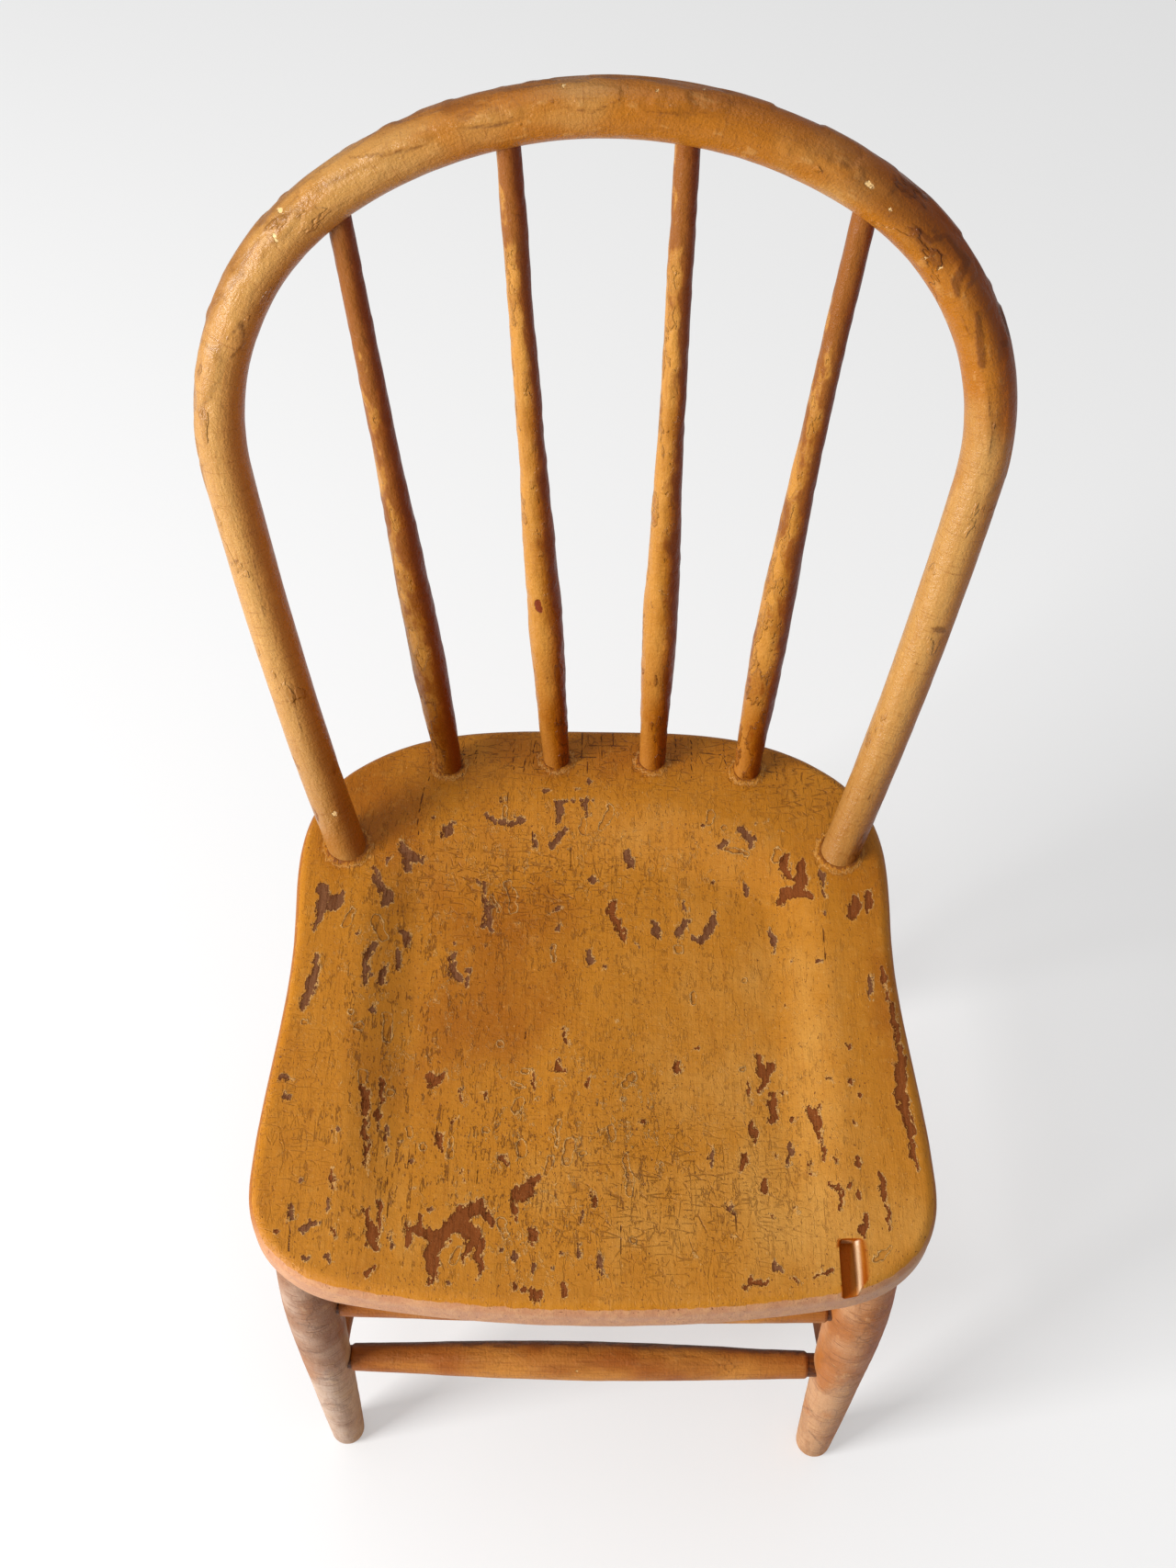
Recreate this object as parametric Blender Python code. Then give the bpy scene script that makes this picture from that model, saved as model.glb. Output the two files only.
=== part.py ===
"""Small hoop-back chair: one bent hoop and four fanned spindles on a saddled plank seat.

Metres, +Z up. The chair faces -Y and its left side, as it stands in the picture, is -X.
The origin is on the floor, under the middle of the chair's box. Everything round is turned
or bent, and every joint is a round tenon in a blind socket.
"""
import math

import bmesh
import bpy
from mathutils import Matrix, Vector
from mathutils.geometry import interpolate_bezier

# Fits
FIT_GAP = 0.0003             # round a tenon in its socket
END_GAP = 0.0006             # between a tenon's tip and the bottom of its socket
SHOULDER_GAP = 0.0005        # between a stretcher's shoulder and the leg it meets

# Seat plank
SEAT_TOP = 0.295             # height of the flat rim above the floor
SEAT_THICKNESS = 0.020
SEAT_WIDTH = 0.305           # at the widest, over the front legs
SEAT_DEPTH = 0.3105          # front edge to back edge
SEAT_WIDEST_AT = 0.062       # behind the front edge
SEAT_WAIST_IN = 0.0079       # how far the sides draw in towards the back
SEAT_WAIST_AT = 0.178        # behind the front edge
SEAT_HIP_IN = 0.0064         # the sides swell a little again beside the hoop's feet
SEAT_HIP_FROM_BACK = 0.084
FRONT_BOW = 0.0083           # how far the front edge falls back before its corners
FRONT_BOW_IN = 0.0475        # from the side to where the front edge turns into the corner
CORNER_IN = 0.0135           # from the side to the middle of the front corner
CORNER_AT = 0.0240           # behind the front edge
BACK_CORNER_IN = 0.0290      # from the side to the middle of the back corner
BACK_CORNER_AT = 0.0275      # in front of the back edge
TOP_ROUND = 0.0060           # worn round of the upper edge
BOTTOM_ROUND = 0.0035

# Saddle, hollowed into the top of the seat
SADDLE_DEPTH = 0.0068
SADDLE_SIDE_RIM = 0.0370     # rim left standing at each side
SADDLE_BACK_RIM = 0.0410     # rim left in front of the back edge, at the middle
SADDLE_ARCH = 0.0420         # how much deeper that rim is at its ends
SADDLE_WALL = 0.0320         # run of the slope from the rim to the floor
SADDLE_RUN_OUT = 0.1150      # length over which the hollow rises to the front edge
POMMEL_RISE = 0.0022         # low ridge between the two thigh hollows
POMMEL_HALF_WIDTH = 0.0300

# Pocket cut in the front edge of the seat
NOTCH_WIDTH = 0.0112
NOTCH_LENGTH = 0.0330        # from the front edge backwards
NOTCH_DEPTH = 0.0050
NOTCH_FROM_SIDE = 0.0392     # seat side to the middle of the pocket

# Bent hoop
HOOP_LEAN = math.radians(18.0)
HOOP_FOOT_IN = 0.0219        # from the side of the seat at its waist
HOOP_FOOT_FROM_BACK = 0.0756
HOOP_CROWN_TURN = math.radians(34.4)
HOOP_SHOULDER_R = 0.127
HOOP_TOE_IN = math.radians(8.15)
HOOP_LEG_LENGTH = 0.2077
HOOP_LEG_BOW_R = 2.27
HOOP_CROWN_D = 0.0224
HOOP_SIDE_D = 0.0214
HOOP_FOOT_D = 0.0190
HOOP_SOCKET_DEPTH = 0.0160
HOOP_SIDES = 20

# Spindles, set out by eye, each from its own side: how far its foot is in from the side of the
# seat, and how far its head is in from where the hoop is widest
SPINDLE_SIDE = (-1, -1, 1, 1)
SPINDLE_FOOT_IN = (0.0785, 0.1332, 0.1225, 0.0737)
SPINDLE_HEAD_IN = (0.0545, 0.1218, 0.1339, 0.0617)
SPINDLE_FROM_BACK = 0.0212   # from the back edge of the seat to a spindle's axis
SPINDLE_FOOT_D = 0.0130
SPINDLE_BELLY_D = 0.0162
SPINDLE_NECK_D = 0.0115
SPINDLE_HEAD_D = 0.0100
SPINDLE_SOCKET_DEPTH = 0.0150
SPINDLE_SIDES = 16

# Legs: how far each top is in from the side and behind the front edge, how far its foot stands
# out from it sideways and backwards, and its two diameters. The front right one is stouter.
LEG_TOP_IN = {"front_left": 0.0188, "front_right": 0.0228, "rear_left": 0.0475, "rear_right": 0.0475}
LEG_TOP_AT = {"front_left": 0.042, "front_right": 0.042, "rear_left": 0.255, "rear_right": 0.255}
LEG_SPLAY_X = {"front_left": -0.0018, "front_right": 0.0003, "rear_left": 0.007, "rear_right": 0.007}
LEG_SPLAY_Y = {"front_left": -0.0083, "front_right": -0.0131, "rear_left": 0.036, "rear_right": 0.036}
LEG_BELLY_D = {"front_left": 0.0262, "front_right": 0.0286, "rear_left": 0.0262, "rear_right": 0.0262}
LEG_FOOT_D = {"front_left": 0.0180, "front_right": 0.0192, "rear_left": 0.0180, "rear_right": 0.0180}
LEG_TENON_D = 0.0190
LEG_BELLY_BELOW_SEAT = 0.068
LEG_FOOT_ROUND = 0.0030
LEG_SOCKET_DEPTH = 0.0140
LEG_SIDES = 20
SAW_ALLOWANCE = 0.0040       # left below the floor before the feet are sawn level

# Stretchers
LOWER_STRETCHER_Z = 0.119
UPPER_STRETCHER_RISE = 0.075     # the upper front stretcher above the lower one
SIDE_STRETCHER_DROP = 0.0165     # the side stretchers below the lower front one
LOWER_STRETCHER_MID_D = 0.0194
STRETCHER_MID_D = 0.0170         # the other four
STRETCHER_END_D = 0.0138
STRETCHER_TENON_D = 0.0118
STRETCHER_SOCKET_DEPTH = 0.0140
LOWER_PULLED_OUT = 0.0030        # the lower front stretcher has worked out of the right leg
UPPER_PULLED_OUT = 0.0009
STRETCHER_SIDES = 16

# Worked out from the sizes above
SEAT_HALF = SEAT_WIDTH / 2
SEAT_UNDER = SEAT_TOP - SEAT_THICKNESS
HOOP_FOOT_HALF = SEAT_HALF - SEAT_WAIST_IN - HOOP_FOOT_IN
HOOP_FOOT_TURN = math.pi / 2 + HOOP_TOE_IN + HOOP_LEG_LENGTH / HOOP_LEG_BOW_R


def hoop_arcs():
    """Radius, start heading and end heading of each arc of a half hoop, crown to foot.

    The heading is 0 at the crown and a quarter turn where the hoop is widest. The crown's
    radius is what brings the foot over its socket.
    """
    shoulder_end = math.pi / 2 + HOOP_TOE_IN
    lower = [(HOOP_SHOULDER_R, HOOP_CROWN_TURN, shoulder_end),
             (HOOP_LEG_BOW_R, shoulder_end, HOOP_FOOT_TURN)]
    reach = sum(r * (math.sin(end) - math.sin(start)) for r, start, end in lower)
    crown_r = (HOOP_FOOT_HALF - reach) / math.sin(HOOP_CROWN_TURN)
    return [(crown_r, 0.0, HOOP_CROWN_TURN)] + lower


def hoop_half(steps=(9, 13, 12)):
    """Points (across, drop below the crown, run) of a half hoop from crown to foot."""
    points = [(0.0, 0.0, 0.0)]
    for (radius, start, end), count in zip(hoop_arcs(), steps):
        across, drop, run = points[-1]
        for i in range(1, count + 1):
            turn = start + (end - start) * i / count
            points.append((across + radius * (math.sin(turn) - math.sin(start)),
                           drop + radius * (math.cos(start) - math.cos(turn)),
                           run + radius * (turn - start)))
    return points


HOOP_HALF = hoop_half()
HOOP_RISE = HOOP_HALF[-1][1]
HOOP_WIDEST, _, HOOP_WIDEST_RUN = max(HOOP_HALF)
OVERALL_DEPTH = (SEAT_DEPTH - HOOP_FOOT_FROM_BACK + HOOP_RISE * math.sin(HOOP_LEAN)
                 + HOOP_CROWN_D / 2)
FRONT_Y = -OVERALL_DEPTH / 2


def remove_everything():
    for obj in list(bpy.data.objects):
        bpy.data.objects.remove(obj, do_unlink=True)


def paint(name, colour, roughness):
    """Plain paint or bare timber, one Principled BSDF each."""
    material = bpy.data.materials.new(name)
    material.use_nodes = True
    shader = material.node_tree.nodes["Principled BSDF"]
    shader.inputs["Base Color"].default_value = (*colour, 1.0)
    shader.inputs["Roughness"].default_value = roughness
    shader.inputs["Metallic"].default_value = 0.0
    material.diffuse_color = (*colour, 1.0)
    return material


def add_object(name, mesh, material=None):
    obj = bpy.data.objects.new(name, mesh)
    bpy.context.scene.collection.objects.link(obj)
    if material:
        mesh.materials.append(material)
    return obj


def along(start, end):
    """A frame at start whose Z runs to end."""
    turn = (end - start).to_track_quat("Z", "Y").to_matrix().to_4x4()
    return Matrix.Translation(start) @ turn


def through(stations, count):
    """A smooth turned outline: count stations on a cubic through (distance, radius) pairs."""
    spots, radii = zip(*stations)
    slopes = []
    for i in range(len(spots)):
        low, high = max(i - 1, 0), min(i + 1, len(spots) - 1)
        slopes.append((radii[high] - radii[low]) / (spots[high] - spots[low]))
    outline = []
    for j in range(count):
        spot = spots[0] + (spots[-1] - spots[0]) * j / (count - 1)
        i = max(k for k in range(len(spots) - 1) if spots[k] <= spot + 1e-12)
        step = spots[i + 1] - spots[i]
        t = (spot - spots[i]) / step
        radius = ((2 * t ** 3 - 3 * t ** 2 + 1) * radii[i] + (t ** 3 - 2 * t ** 2 + t) * step * slopes[i]
                  + (3 * t ** 2 - 2 * t ** 3) * radii[i + 1] + (t ** 3 - t ** 2) * step * slopes[i + 1])
        outline.append((spot, radius))
    return outline


def turned(name, start, end, outline, sides, material=None):
    """A lathe-turned piece: its outline, foot to head, spun round the line from start to end."""
    foot, head = outline[0][0], outline[-1][0]
    profile = [(0.0, head)] + [(r, z) for z, r in reversed(outline)] + [(0.0, foot)]
    mesh = bpy.data.meshes.new(name)
    mesh.from_pydata([(r, 0.0, z) for r, z in profile],
                     [(i, i + 1) for i in range(len(profile) - 1)], [])
    obj = add_object(name, mesh, material)
    obj.matrix_world = along(start, end)
    spin = obj.modifiers.new("lathe", "SCREW")
    spin.axis = "Z"
    spin.steps = sides
    spin.render_steps = sides
    spin.use_merge_vertices = True
    spin.merge_threshold = 0.00001
    spin.use_smooth_shade = True
    return obj


def cut(obj, cutter, name):
    """Take the cutter's shape out of obj."""
    cutter.hide_render = True
    cutter.display_type = "WIRE"
    boolean = obj.modifiers.new(name, "BOOLEAN")
    boolean.operation = "DIFFERENCE"
    boolean.solver = "EXACT"
    boolean.object = cutter


def bore(obj, name, mouth, bottom, diameter, overshoot):
    """Drill a blind round socket from beyond its mouth down to its bottom."""
    away = (mouth - bottom).normalized()
    start = mouth + away * overshoot
    length = (start - bottom).length
    radius = diameter / 2 + FIT_GAP
    drill = turned(f"drill_{name}", bottom, start, [(0.0, radius), (length, radius)], 24)
    cut(obj, drill, name)


def smoothstep(low, high, value):
    t = min(max((value - low) / (high - low), 0.0), 1.0)
    return t * t * (3 - 2 * t)


def seat_outline():
    """The seat's plan, as distances from its middle line and behind its front edge.

    Half of it is a chain of Bezier curves through named knots (x, y, heading in degrees);
    the other half mirrors it.
    """
    half = SEAT_HALF
    knots = [(0.0, 0.0, 0, 5),
             (half - FRONT_BOW_IN, FRONT_BOW, 9, 4),
             (half - CORNER_IN, CORNER_AT, 44, 5),
             (half, SEAT_WIDEST_AT, 91, 6),
             (half - SEAT_WAIST_IN, SEAT_WAIST_AT, 90, 4),
             (half - SEAT_HIP_IN, SEAT_DEPTH - SEAT_HIP_FROM_BACK, 91, 5),
             (half - BACK_CORNER_IN, SEAT_DEPTH - BACK_CORNER_AT, 140, 8),
             (0.0, SEAT_DEPTH, 180, 0)]
    points = []
    for (x0, y0, head0, count), (x1, y1, head1, _) in zip(knots, knots[1:]):
        start, end = Vector((x0, y0)), Vector((x1, y1))
        reach = (end - start).length * 0.36
        out0 = Vector((math.cos(math.radians(head0)), math.sin(math.radians(head0)))) * reach
        out1 = Vector((math.cos(math.radians(head1)), math.sin(math.radians(head1)))) * reach
        points += interpolate_bezier(start, start + out0, end - out1, end, count + 1)[:-1]
    mirrored = [Vector((-p.x, p.y)) for p in reversed(points[1:])]
    return points + [Vector((0.0, SEAT_DEPTH))] + mirrored


def back_edge(x, outline):
    """How far behind the front edge the seat's back edge is, at x."""
    rear = sorted((p.x, p.y) for p in outline if p.y > SEAT_DEPTH / 2)
    for (x0, y0), (x1, y1) in zip(rear, rear[1:]):
        if x0 <= x <= x1 and x1 > x0:
            return y0 + (y1 - y0) * (x - x0) / (x1 - x0)
    raise ValueError("a spindle stands beyond the seat")


def saddle(x, y):
    """How deep the hollow is at x, and y behind the front edge.

    The product of three slopes: in from the sides, in from an arched line at the back, and
    rising to nothing at the front. A low pommel stands in its middle towards the front.
    """
    side = SEAT_HALF - SADDLE_SIDE_RIM
    arch = SADDLE_ARCH * min(abs(x) / side, 1.0) ** 2
    from_side = smoothstep(0.0, SADDLE_WALL, side - abs(x))
    from_back = smoothstep(0.0, SADDLE_WALL * 1.4, SEAT_DEPTH - SADDLE_BACK_RIM - arch - y)
    from_front = smoothstep(0.0, SADDLE_RUN_OUT, y)
    pommel = POMMEL_RISE * math.exp(-(x / POMMEL_HALF_WIDTH) ** 2)
    pommel *= 1.0 - smoothstep(0.3 * SEAT_DEPTH, 0.65 * SEAT_DEPTH, y)
    return (SADDLE_DEPTH - pommel) * from_side * from_back * from_front


def build_seat(material):
    """The plank as rings of its outline: up the wall, round the edges and in over the saddle."""
    outline = seat_outline()
    count = len(outline)
    inward = []
    for i, point in enumerate(outline):
        run = (outline[(i + 1) % count] - outline[i - 1]).normalized()
        inward.append(Vector((-run.y, run.x)))
    centre = Vector((0.0, SEAT_DEPTH * 0.52))
    mesh_data = bmesh.new()

    def ring(offset, drop, scale=1.0, hollow=False):
        verts = []
        for point, normal in zip(outline, inward):
            spot = centre + (point + normal * offset - centre) * scale
            depth = saddle(spot.x, spot.y) if hollow else 0.0
            verts.append(mesh_data.verts.new((spot.x, FRONT_Y + spot.y, SEAT_TOP - drop - depth)))
        return verts

    quarter = [math.radians(90 * k / 4) for k in range(5)]
    rings = [ring(BOTTOM_ROUND * (1 - math.cos(a)), SEAT_THICKNESS - BOTTOM_ROUND * (1 - math.sin(a)))
             for a in reversed(quarter[::2])]
    rings += [ring(TOP_ROUND * (1 - math.cos(a)), TOP_ROUND * (1 - math.sin(a)), hollow=True)
              for a in quarter]
    rings += [ring(TOP_ROUND, 0.0, scale, hollow=True)
              for scale in (0.95, 0.89, 0.82, 0.74, 0.65, 0.54, 0.41, 0.25)]
    mesh_data.faces.new(list(reversed(rings[0])))
    for low, high in zip(rings, rings[1:]):
        for i in range(count):
            j = (i + 1) % count
            mesh_data.faces.new((low[i], low[j], high[j], high[i]))
    middle = mesh_data.verts.new((centre.x, FRONT_Y + centre.y,
                                  SEAT_TOP - saddle(centre.x, centre.y)))
    for i in range(count):
        mesh_data.faces.new((rings[-1][i], rings[-1][(i + 1) % count], middle))
    bmesh.ops.triangulate(mesh_data, faces=mesh_data.faces)
    mesh = bpy.data.meshes.new("seat")
    mesh_data.to_mesh(mesh)
    mesh_data.free()
    mesh.shade_smooth()
    mesh.set_sharp_from_angle(angle=math.radians(40))
    return add_object("seat", mesh, material), outline


def cut_notch(seat):
    """The square pocket at the right of the front edge, open to the front."""
    right = SEAT_HALF - NOTCH_FROM_SIDE + NOTCH_WIDTH / 2
    above = 0.010
    low = Vector((right - NOTCH_WIDTH, FRONT_Y - above, SEAT_TOP - NOTCH_DEPTH))
    high = Vector((right, FRONT_Y + NOTCH_LENGTH, SEAT_TOP + above))
    block = bmesh.new()
    bmesh.ops.create_cube(block, size=1.0)
    size = high - low
    place = Matrix.Translation((low + high) / 2) @ Matrix.Diagonal((*size, 1.0))
    bmesh.ops.transform(block, matrix=place, verts=block.verts)
    mesh = bpy.data.meshes.new("notch_cutter")
    block.to_mesh(mesh)
    block.free()
    cut(seat, add_object("notch_cutter", mesh), "notch")


def hoop_point(across, drop):
    """A point of the hoop's leaning plane, from its distance across and below the crown."""
    rise = HOOP_RISE - drop
    return Vector((across, FRONT_Y + SEAT_DEPTH - HOOP_FOOT_FROM_BACK + rise * math.sin(HOOP_LEAN),
                   SEAT_TOP + rise * math.cos(HOOP_LEAN)))


def hoop_drop_at(across):
    """How far below the crown the hoop's centre line is, above its widest place."""
    crown = [(a, d) for a, d, _ in HOOP_HALF if d <= HOOP_RISE / 2]
    for (a0, d0), (a1, d1) in zip(crown, crown[1:]):
        if a0 <= abs(across) <= a1:
            return d0 + (d1 - d0) * (abs(across) - a0) / (a1 - a0)
    raise ValueError("a spindle reaches beyond the hoop")


def build_hoop(material):
    """One bent rod, thickest at the crown, swept along its half outline and the mirror of it."""
    foot_run = HOOP_HALF[-1][2]
    half = []
    for across, drop, run in HOOP_HALF:
        if run < HOOP_WIDEST_RUN:
            share = run / HOOP_WIDEST_RUN
            diameter = HOOP_CROWN_D + (HOOP_SIDE_D - HOOP_CROWN_D) * share
        else:
            share = (run - HOOP_WIDEST_RUN) / (foot_run - HOOP_WIDEST_RUN)
            diameter = HOOP_SIDE_D + (HOOP_FOOT_D - HOOP_SIDE_D) * share
        half.append((across, drop, diameter / 2))
    sink = HOOP_SOCKET_DEPTH - END_GAP
    across, drop, radius = half[-1]
    half.append((across + sink * math.cos(HOOP_FOOT_TURN), drop + sink * math.sin(HOOP_FOOT_TURN),
                 radius))
    stations = [(-a, d, r) for a, d, r in reversed(half)] + half[1:]
    centres = [hoop_point(a, d) for a, d, _ in stations]
    plane_normal = Vector((0.0, math.cos(HOOP_LEAN), -math.sin(HOOP_LEAN)))
    rod = bmesh.new()
    rings = []
    for i, centre in enumerate(centres):
        run = (centres[min(i + 1, len(centres) - 1)] - centres[max(i - 1, 0)]).normalized()
        side = run.cross(plane_normal)
        radius = stations[i][2]
        turns = [2 * math.pi * k / HOOP_SIDES for k in range(HOOP_SIDES)]
        rings.append([rod.verts.new(centre + radius * (math.cos(t) * plane_normal + math.sin(t) * side))
                      for t in turns])
    for near, far in zip(rings, rings[1:]):
        for k in range(HOOP_SIDES):
            m = (k + 1) % HOOP_SIDES
            rod.faces.new((near[k], near[m], far[m], far[k]))
    rod.faces.new(list(reversed(rings[0])))
    rod.faces.new(rings[-1])
    bmesh.ops.triangulate(rod, faces=rod.faces)
    bmesh.ops.recalc_face_normals(rod, faces=rod.faces)
    mesh = bpy.data.meshes.new("hoop")
    rod.to_mesh(mesh)
    rod.free()
    mesh.shade_smooth()
    mesh.set_sharp_from_angle(angle=math.radians(50))
    return add_object("hoop", mesh, material)


def socket_hoop(seat):
    """The two leaning sockets in the seat that take the hoop's feet."""
    across, drop, _ = HOOP_HALF[-1]
    for side, word in ((-1, "left"), (1, "right")):
        mouth = hoop_point(side * across, drop)
        bottom = hoop_point(side * (across + HOOP_SOCKET_DEPTH * math.cos(HOOP_FOOT_TURN)),
                            drop + HOOP_SOCKET_DEPTH * math.sin(HOOP_FOOT_TURN))
        bore(seat, f"hoop_foot_{word}", mouth, bottom, HOOP_FOOT_D, HOOP_FOOT_D)


def build_spindles(seat, hoop, outline, material):
    """The fanned spindles, their feet in the seat's back rim and their heads in the hoop."""
    rows = zip(SPINDLE_SIDE, SPINDLE_FOOT_IN, SPINDLE_HEAD_IN)
    for number, (side, foot_in, head_in) in enumerate(rows, start=1):
        foot_x, head_x = side * (SEAT_HALF - foot_in), side * (HOOP_WIDEST - head_in)
        foot = Vector((foot_x, FRONT_Y + back_edge(foot_x, outline) - SPINDLE_FROM_BACK, SEAT_TOP))
        head = hoop_point(head_x, hoop_drop_at(head_x))
        run = (head - foot).normalized()
        length = (head - foot).length
        sunk = SPINDLE_SOCKET_DEPTH - END_GAP
        shown = through([(0.0, SPINDLE_FOOT_D / 2), (0.22 * length, SPINDLE_BELLY_D / 2),
                         (0.62 * length, SPINDLE_NECK_D / 2),
                         (length - HOOP_CROWN_D / 2, SPINDLE_HEAD_D / 2)], 12)
        outline_points = [(-sunk, SPINDLE_FOOT_D / 2)] + shown
        outline_points.append((length - END_GAP, SPINDLE_HEAD_D / 2))
        turned(f"spindle_{number}", foot, head, outline_points, SPINDLE_SIDES, material)
        bore(seat, f"spindle_foot_{number}", foot, foot - run * SPINDLE_SOCKET_DEPTH,
             SPINDLE_FOOT_D, SPINDLE_FOOT_D)
        bore(hoop, f"spindle_head_{number}", head - run * HOOP_CROWN_D / 2, head,
             SPINDLE_HEAD_D, SPINDLE_HEAD_D)


class Leg:
    """A turned leg: its axis from the floor to the seat's underside, and its outline."""

    def __init__(self, place):
        side = -1 if place.endswith("left") else 1
        top_x = side * (SEAT_HALF - LEG_TOP_IN[place])
        top_y = FRONT_Y + LEG_TOP_AT[place]
        self.place = place
        self.top = Vector((top_x, top_y, SEAT_UNDER))
        self.foot = Vector((top_x + side * LEG_SPLAY_X[place], top_y + LEG_SPLAY_Y[place], 0.0))
        length = (self.top - self.foot).length
        belly = length - LEG_BELLY_BELOW_SEAT
        foot_r, belly_r = LEG_FOOT_D[place] / 2, LEG_BELLY_D[place] / 2
        middle_r = foot_r + 0.62 * (belly_r - foot_r)
        self.shown = through([(LEG_FOOT_ROUND, foot_r), (0.45 * belly, middle_r), (belly, belly_r),
                              (length, LEG_TENON_D / 2)], 14)
        worn_foot = [(-SAW_ALLOWANCE, foot_r - LEG_FOOT_ROUND), (0.0, foot_r - 0.55 * LEG_FOOT_ROUND)]
        head = length + LEG_SOCKET_DEPTH - END_GAP
        self.outline = worn_foot + self.shown + [(head, LEG_TENON_D / 2)]

    def axis_at(self, height):
        return self.foot + (self.top - self.foot) * (height / SEAT_UNDER)

    def radius_at(self, height):
        spot = (self.axis_at(height) - self.foot).length
        for (s0, r0), (s1, r1) in zip(self.shown, self.shown[1:]):
            if s0 <= spot <= s1:
                return r0 + (r1 - r0) * (spot - s0) / (s1 - s0)
        raise ValueError("a stretcher is off the leg")

    def clear_of(self, height, run, shoulder_r):
        """How far out along run a square shoulder stands when it just clears the leaning leg."""
        lean = abs(run.dot((self.top - self.foot).normalized()))
        widest = max(self.radius_at(height - shoulder_r), self.radius_at(height + shoulder_r))
        return (widest + lean * shoulder_r) / math.sqrt(1.0 - lean * lean) + SHOULDER_GAP


def build_legs(seat, material):
    """Four legs in sockets under the seat, their feet sawn level with the floor."""
    saw = bmesh.new()
    bmesh.ops.create_cube(saw, size=1.0)
    depth = 10 * SAW_ALLOWANCE
    place_saw = Matrix.Translation((0, 0, -depth / 2)) @ Matrix.Diagonal((1.0, 1.0, depth, 1.0))
    bmesh.ops.transform(saw, matrix=place_saw, verts=saw.verts)
    saw_mesh = bpy.data.meshes.new("floor_saw")
    saw.to_mesh(saw_mesh)
    saw.free()
    floor_saw = add_object("floor_saw", saw_mesh)
    legs = {}
    for place in LEG_TOP_IN:
        leg = Leg(place)
        run = (leg.top - leg.foot).normalized()
        leg.obj = turned(f"leg_{place}", leg.foot, leg.top, leg.outline, LEG_SIDES, material)
        cut(leg.obj, floor_saw, "level_foot")
        bore(seat, f"leg_{place}", leg.top, leg.top + run * LEG_SOCKET_DEPTH, LEG_TENON_D,
             LEG_TENON_D / 2)
        legs[place] = leg
    return legs


def build_stretcher(name, start_leg, end_leg, height, mid_d, material, pulled_out=0.0):
    """A turned stretcher between two legs, fullest at its middle, with a tenon at each end.

    pulled_out is how far it has worked out of the second leg's socket.
    """
    start, end = start_leg.axis_at(height), end_leg.axis_at(height)
    run = (end - start).normalized()
    span = (end - start).length
    faces = [leg.clear_of(height, run, STRETCHER_END_D / 2) for leg in (start_leg, end_leg)]
    first, last = faces[0], span - faces[1] - pulled_out
    tip = STRETCHER_SOCKET_DEPTH - END_GAP
    body = through([(first, STRETCHER_END_D / 2), (first + 0.5 * (last - first), mid_d / 2),
                    (last, STRETCHER_END_D / 2)], 9)
    tenon_r = STRETCHER_TENON_D / 2
    outline = [(first - tip, tenon_r), (first, tenon_r)] + body
    outline += [(last, tenon_r), (last + tip, tenon_r)]
    turned(name, start, end, outline, STRETCHER_SIDES, material)
    for leg, point, inward, face in ((start_leg, start, -run, faces[0]), (end_leg, end, run, faces[1])):
        mouth = point - inward * face
        bore(leg.obj, f"{name}_{leg.place}", mouth, mouth + inward * STRETCHER_SOCKET_DEPTH,
             STRETCHER_TENON_D, face)


def build_stretchers(legs, material):
    lower = LOWER_STRETCHER_Z
    side = lower - SIDE_STRETCHER_DROP
    rows = [("front_lower", "front_left", "front_right", lower, LOWER_STRETCHER_MID_D,
             LOWER_PULLED_OUT),
            ("front_upper", "front_left", "front_right", lower + UPPER_STRETCHER_RISE,
             STRETCHER_MID_D, UPPER_PULLED_OUT),
            ("left", "front_left", "rear_left", side, STRETCHER_MID_D, 0.0),
            ("right", "front_right", "rear_right", side, STRETCHER_MID_D, 0.0),
            ("rear", "rear_left", "rear_right", lower, STRETCHER_MID_D, 0.0)]
    for name, first, second, height, mid_d, pulled_out in rows:
        build_stretcher(f"stretcher_{name}", legs[first], legs[second], height, mid_d, material,
                        pulled_out)


def build_chair():
    remove_everything()
    seat_paint = paint("ochre_paint_on_plank", (0.45, 0.23, 0.05), 0.45)
    hoop_paint = paint("ochre_paint_on_bent_rod", (0.50, 0.27, 0.08), 0.40)
    spindle_paint = paint("orange_brown_paint", (0.36, 0.15, 0.03), 0.40)
    leg_paint = paint("worn_paint_on_turned_leg", (0.42, 0.24, 0.14), 0.55)
    stretcher_paint = paint("brown_paint_on_stretcher", (0.34, 0.16, 0.05), 0.45)
    seat, outline = build_seat(seat_paint)
    hoop = build_hoop(hoop_paint)
    cut_notch(seat)
    socket_hoop(seat)
    build_spindles(seat, hoop, outline, spindle_paint)
    legs = build_legs(seat, leg_paint)
    build_stretchers(legs, stretcher_paint)


build_chair()
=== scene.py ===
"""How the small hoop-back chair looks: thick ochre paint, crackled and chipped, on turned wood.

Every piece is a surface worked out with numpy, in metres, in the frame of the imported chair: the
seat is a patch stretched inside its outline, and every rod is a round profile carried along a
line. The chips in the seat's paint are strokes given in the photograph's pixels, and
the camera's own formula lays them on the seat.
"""
import math
from functools import partial

import bpy
import numpy as np
from mathutils import Matrix, Vector


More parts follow.
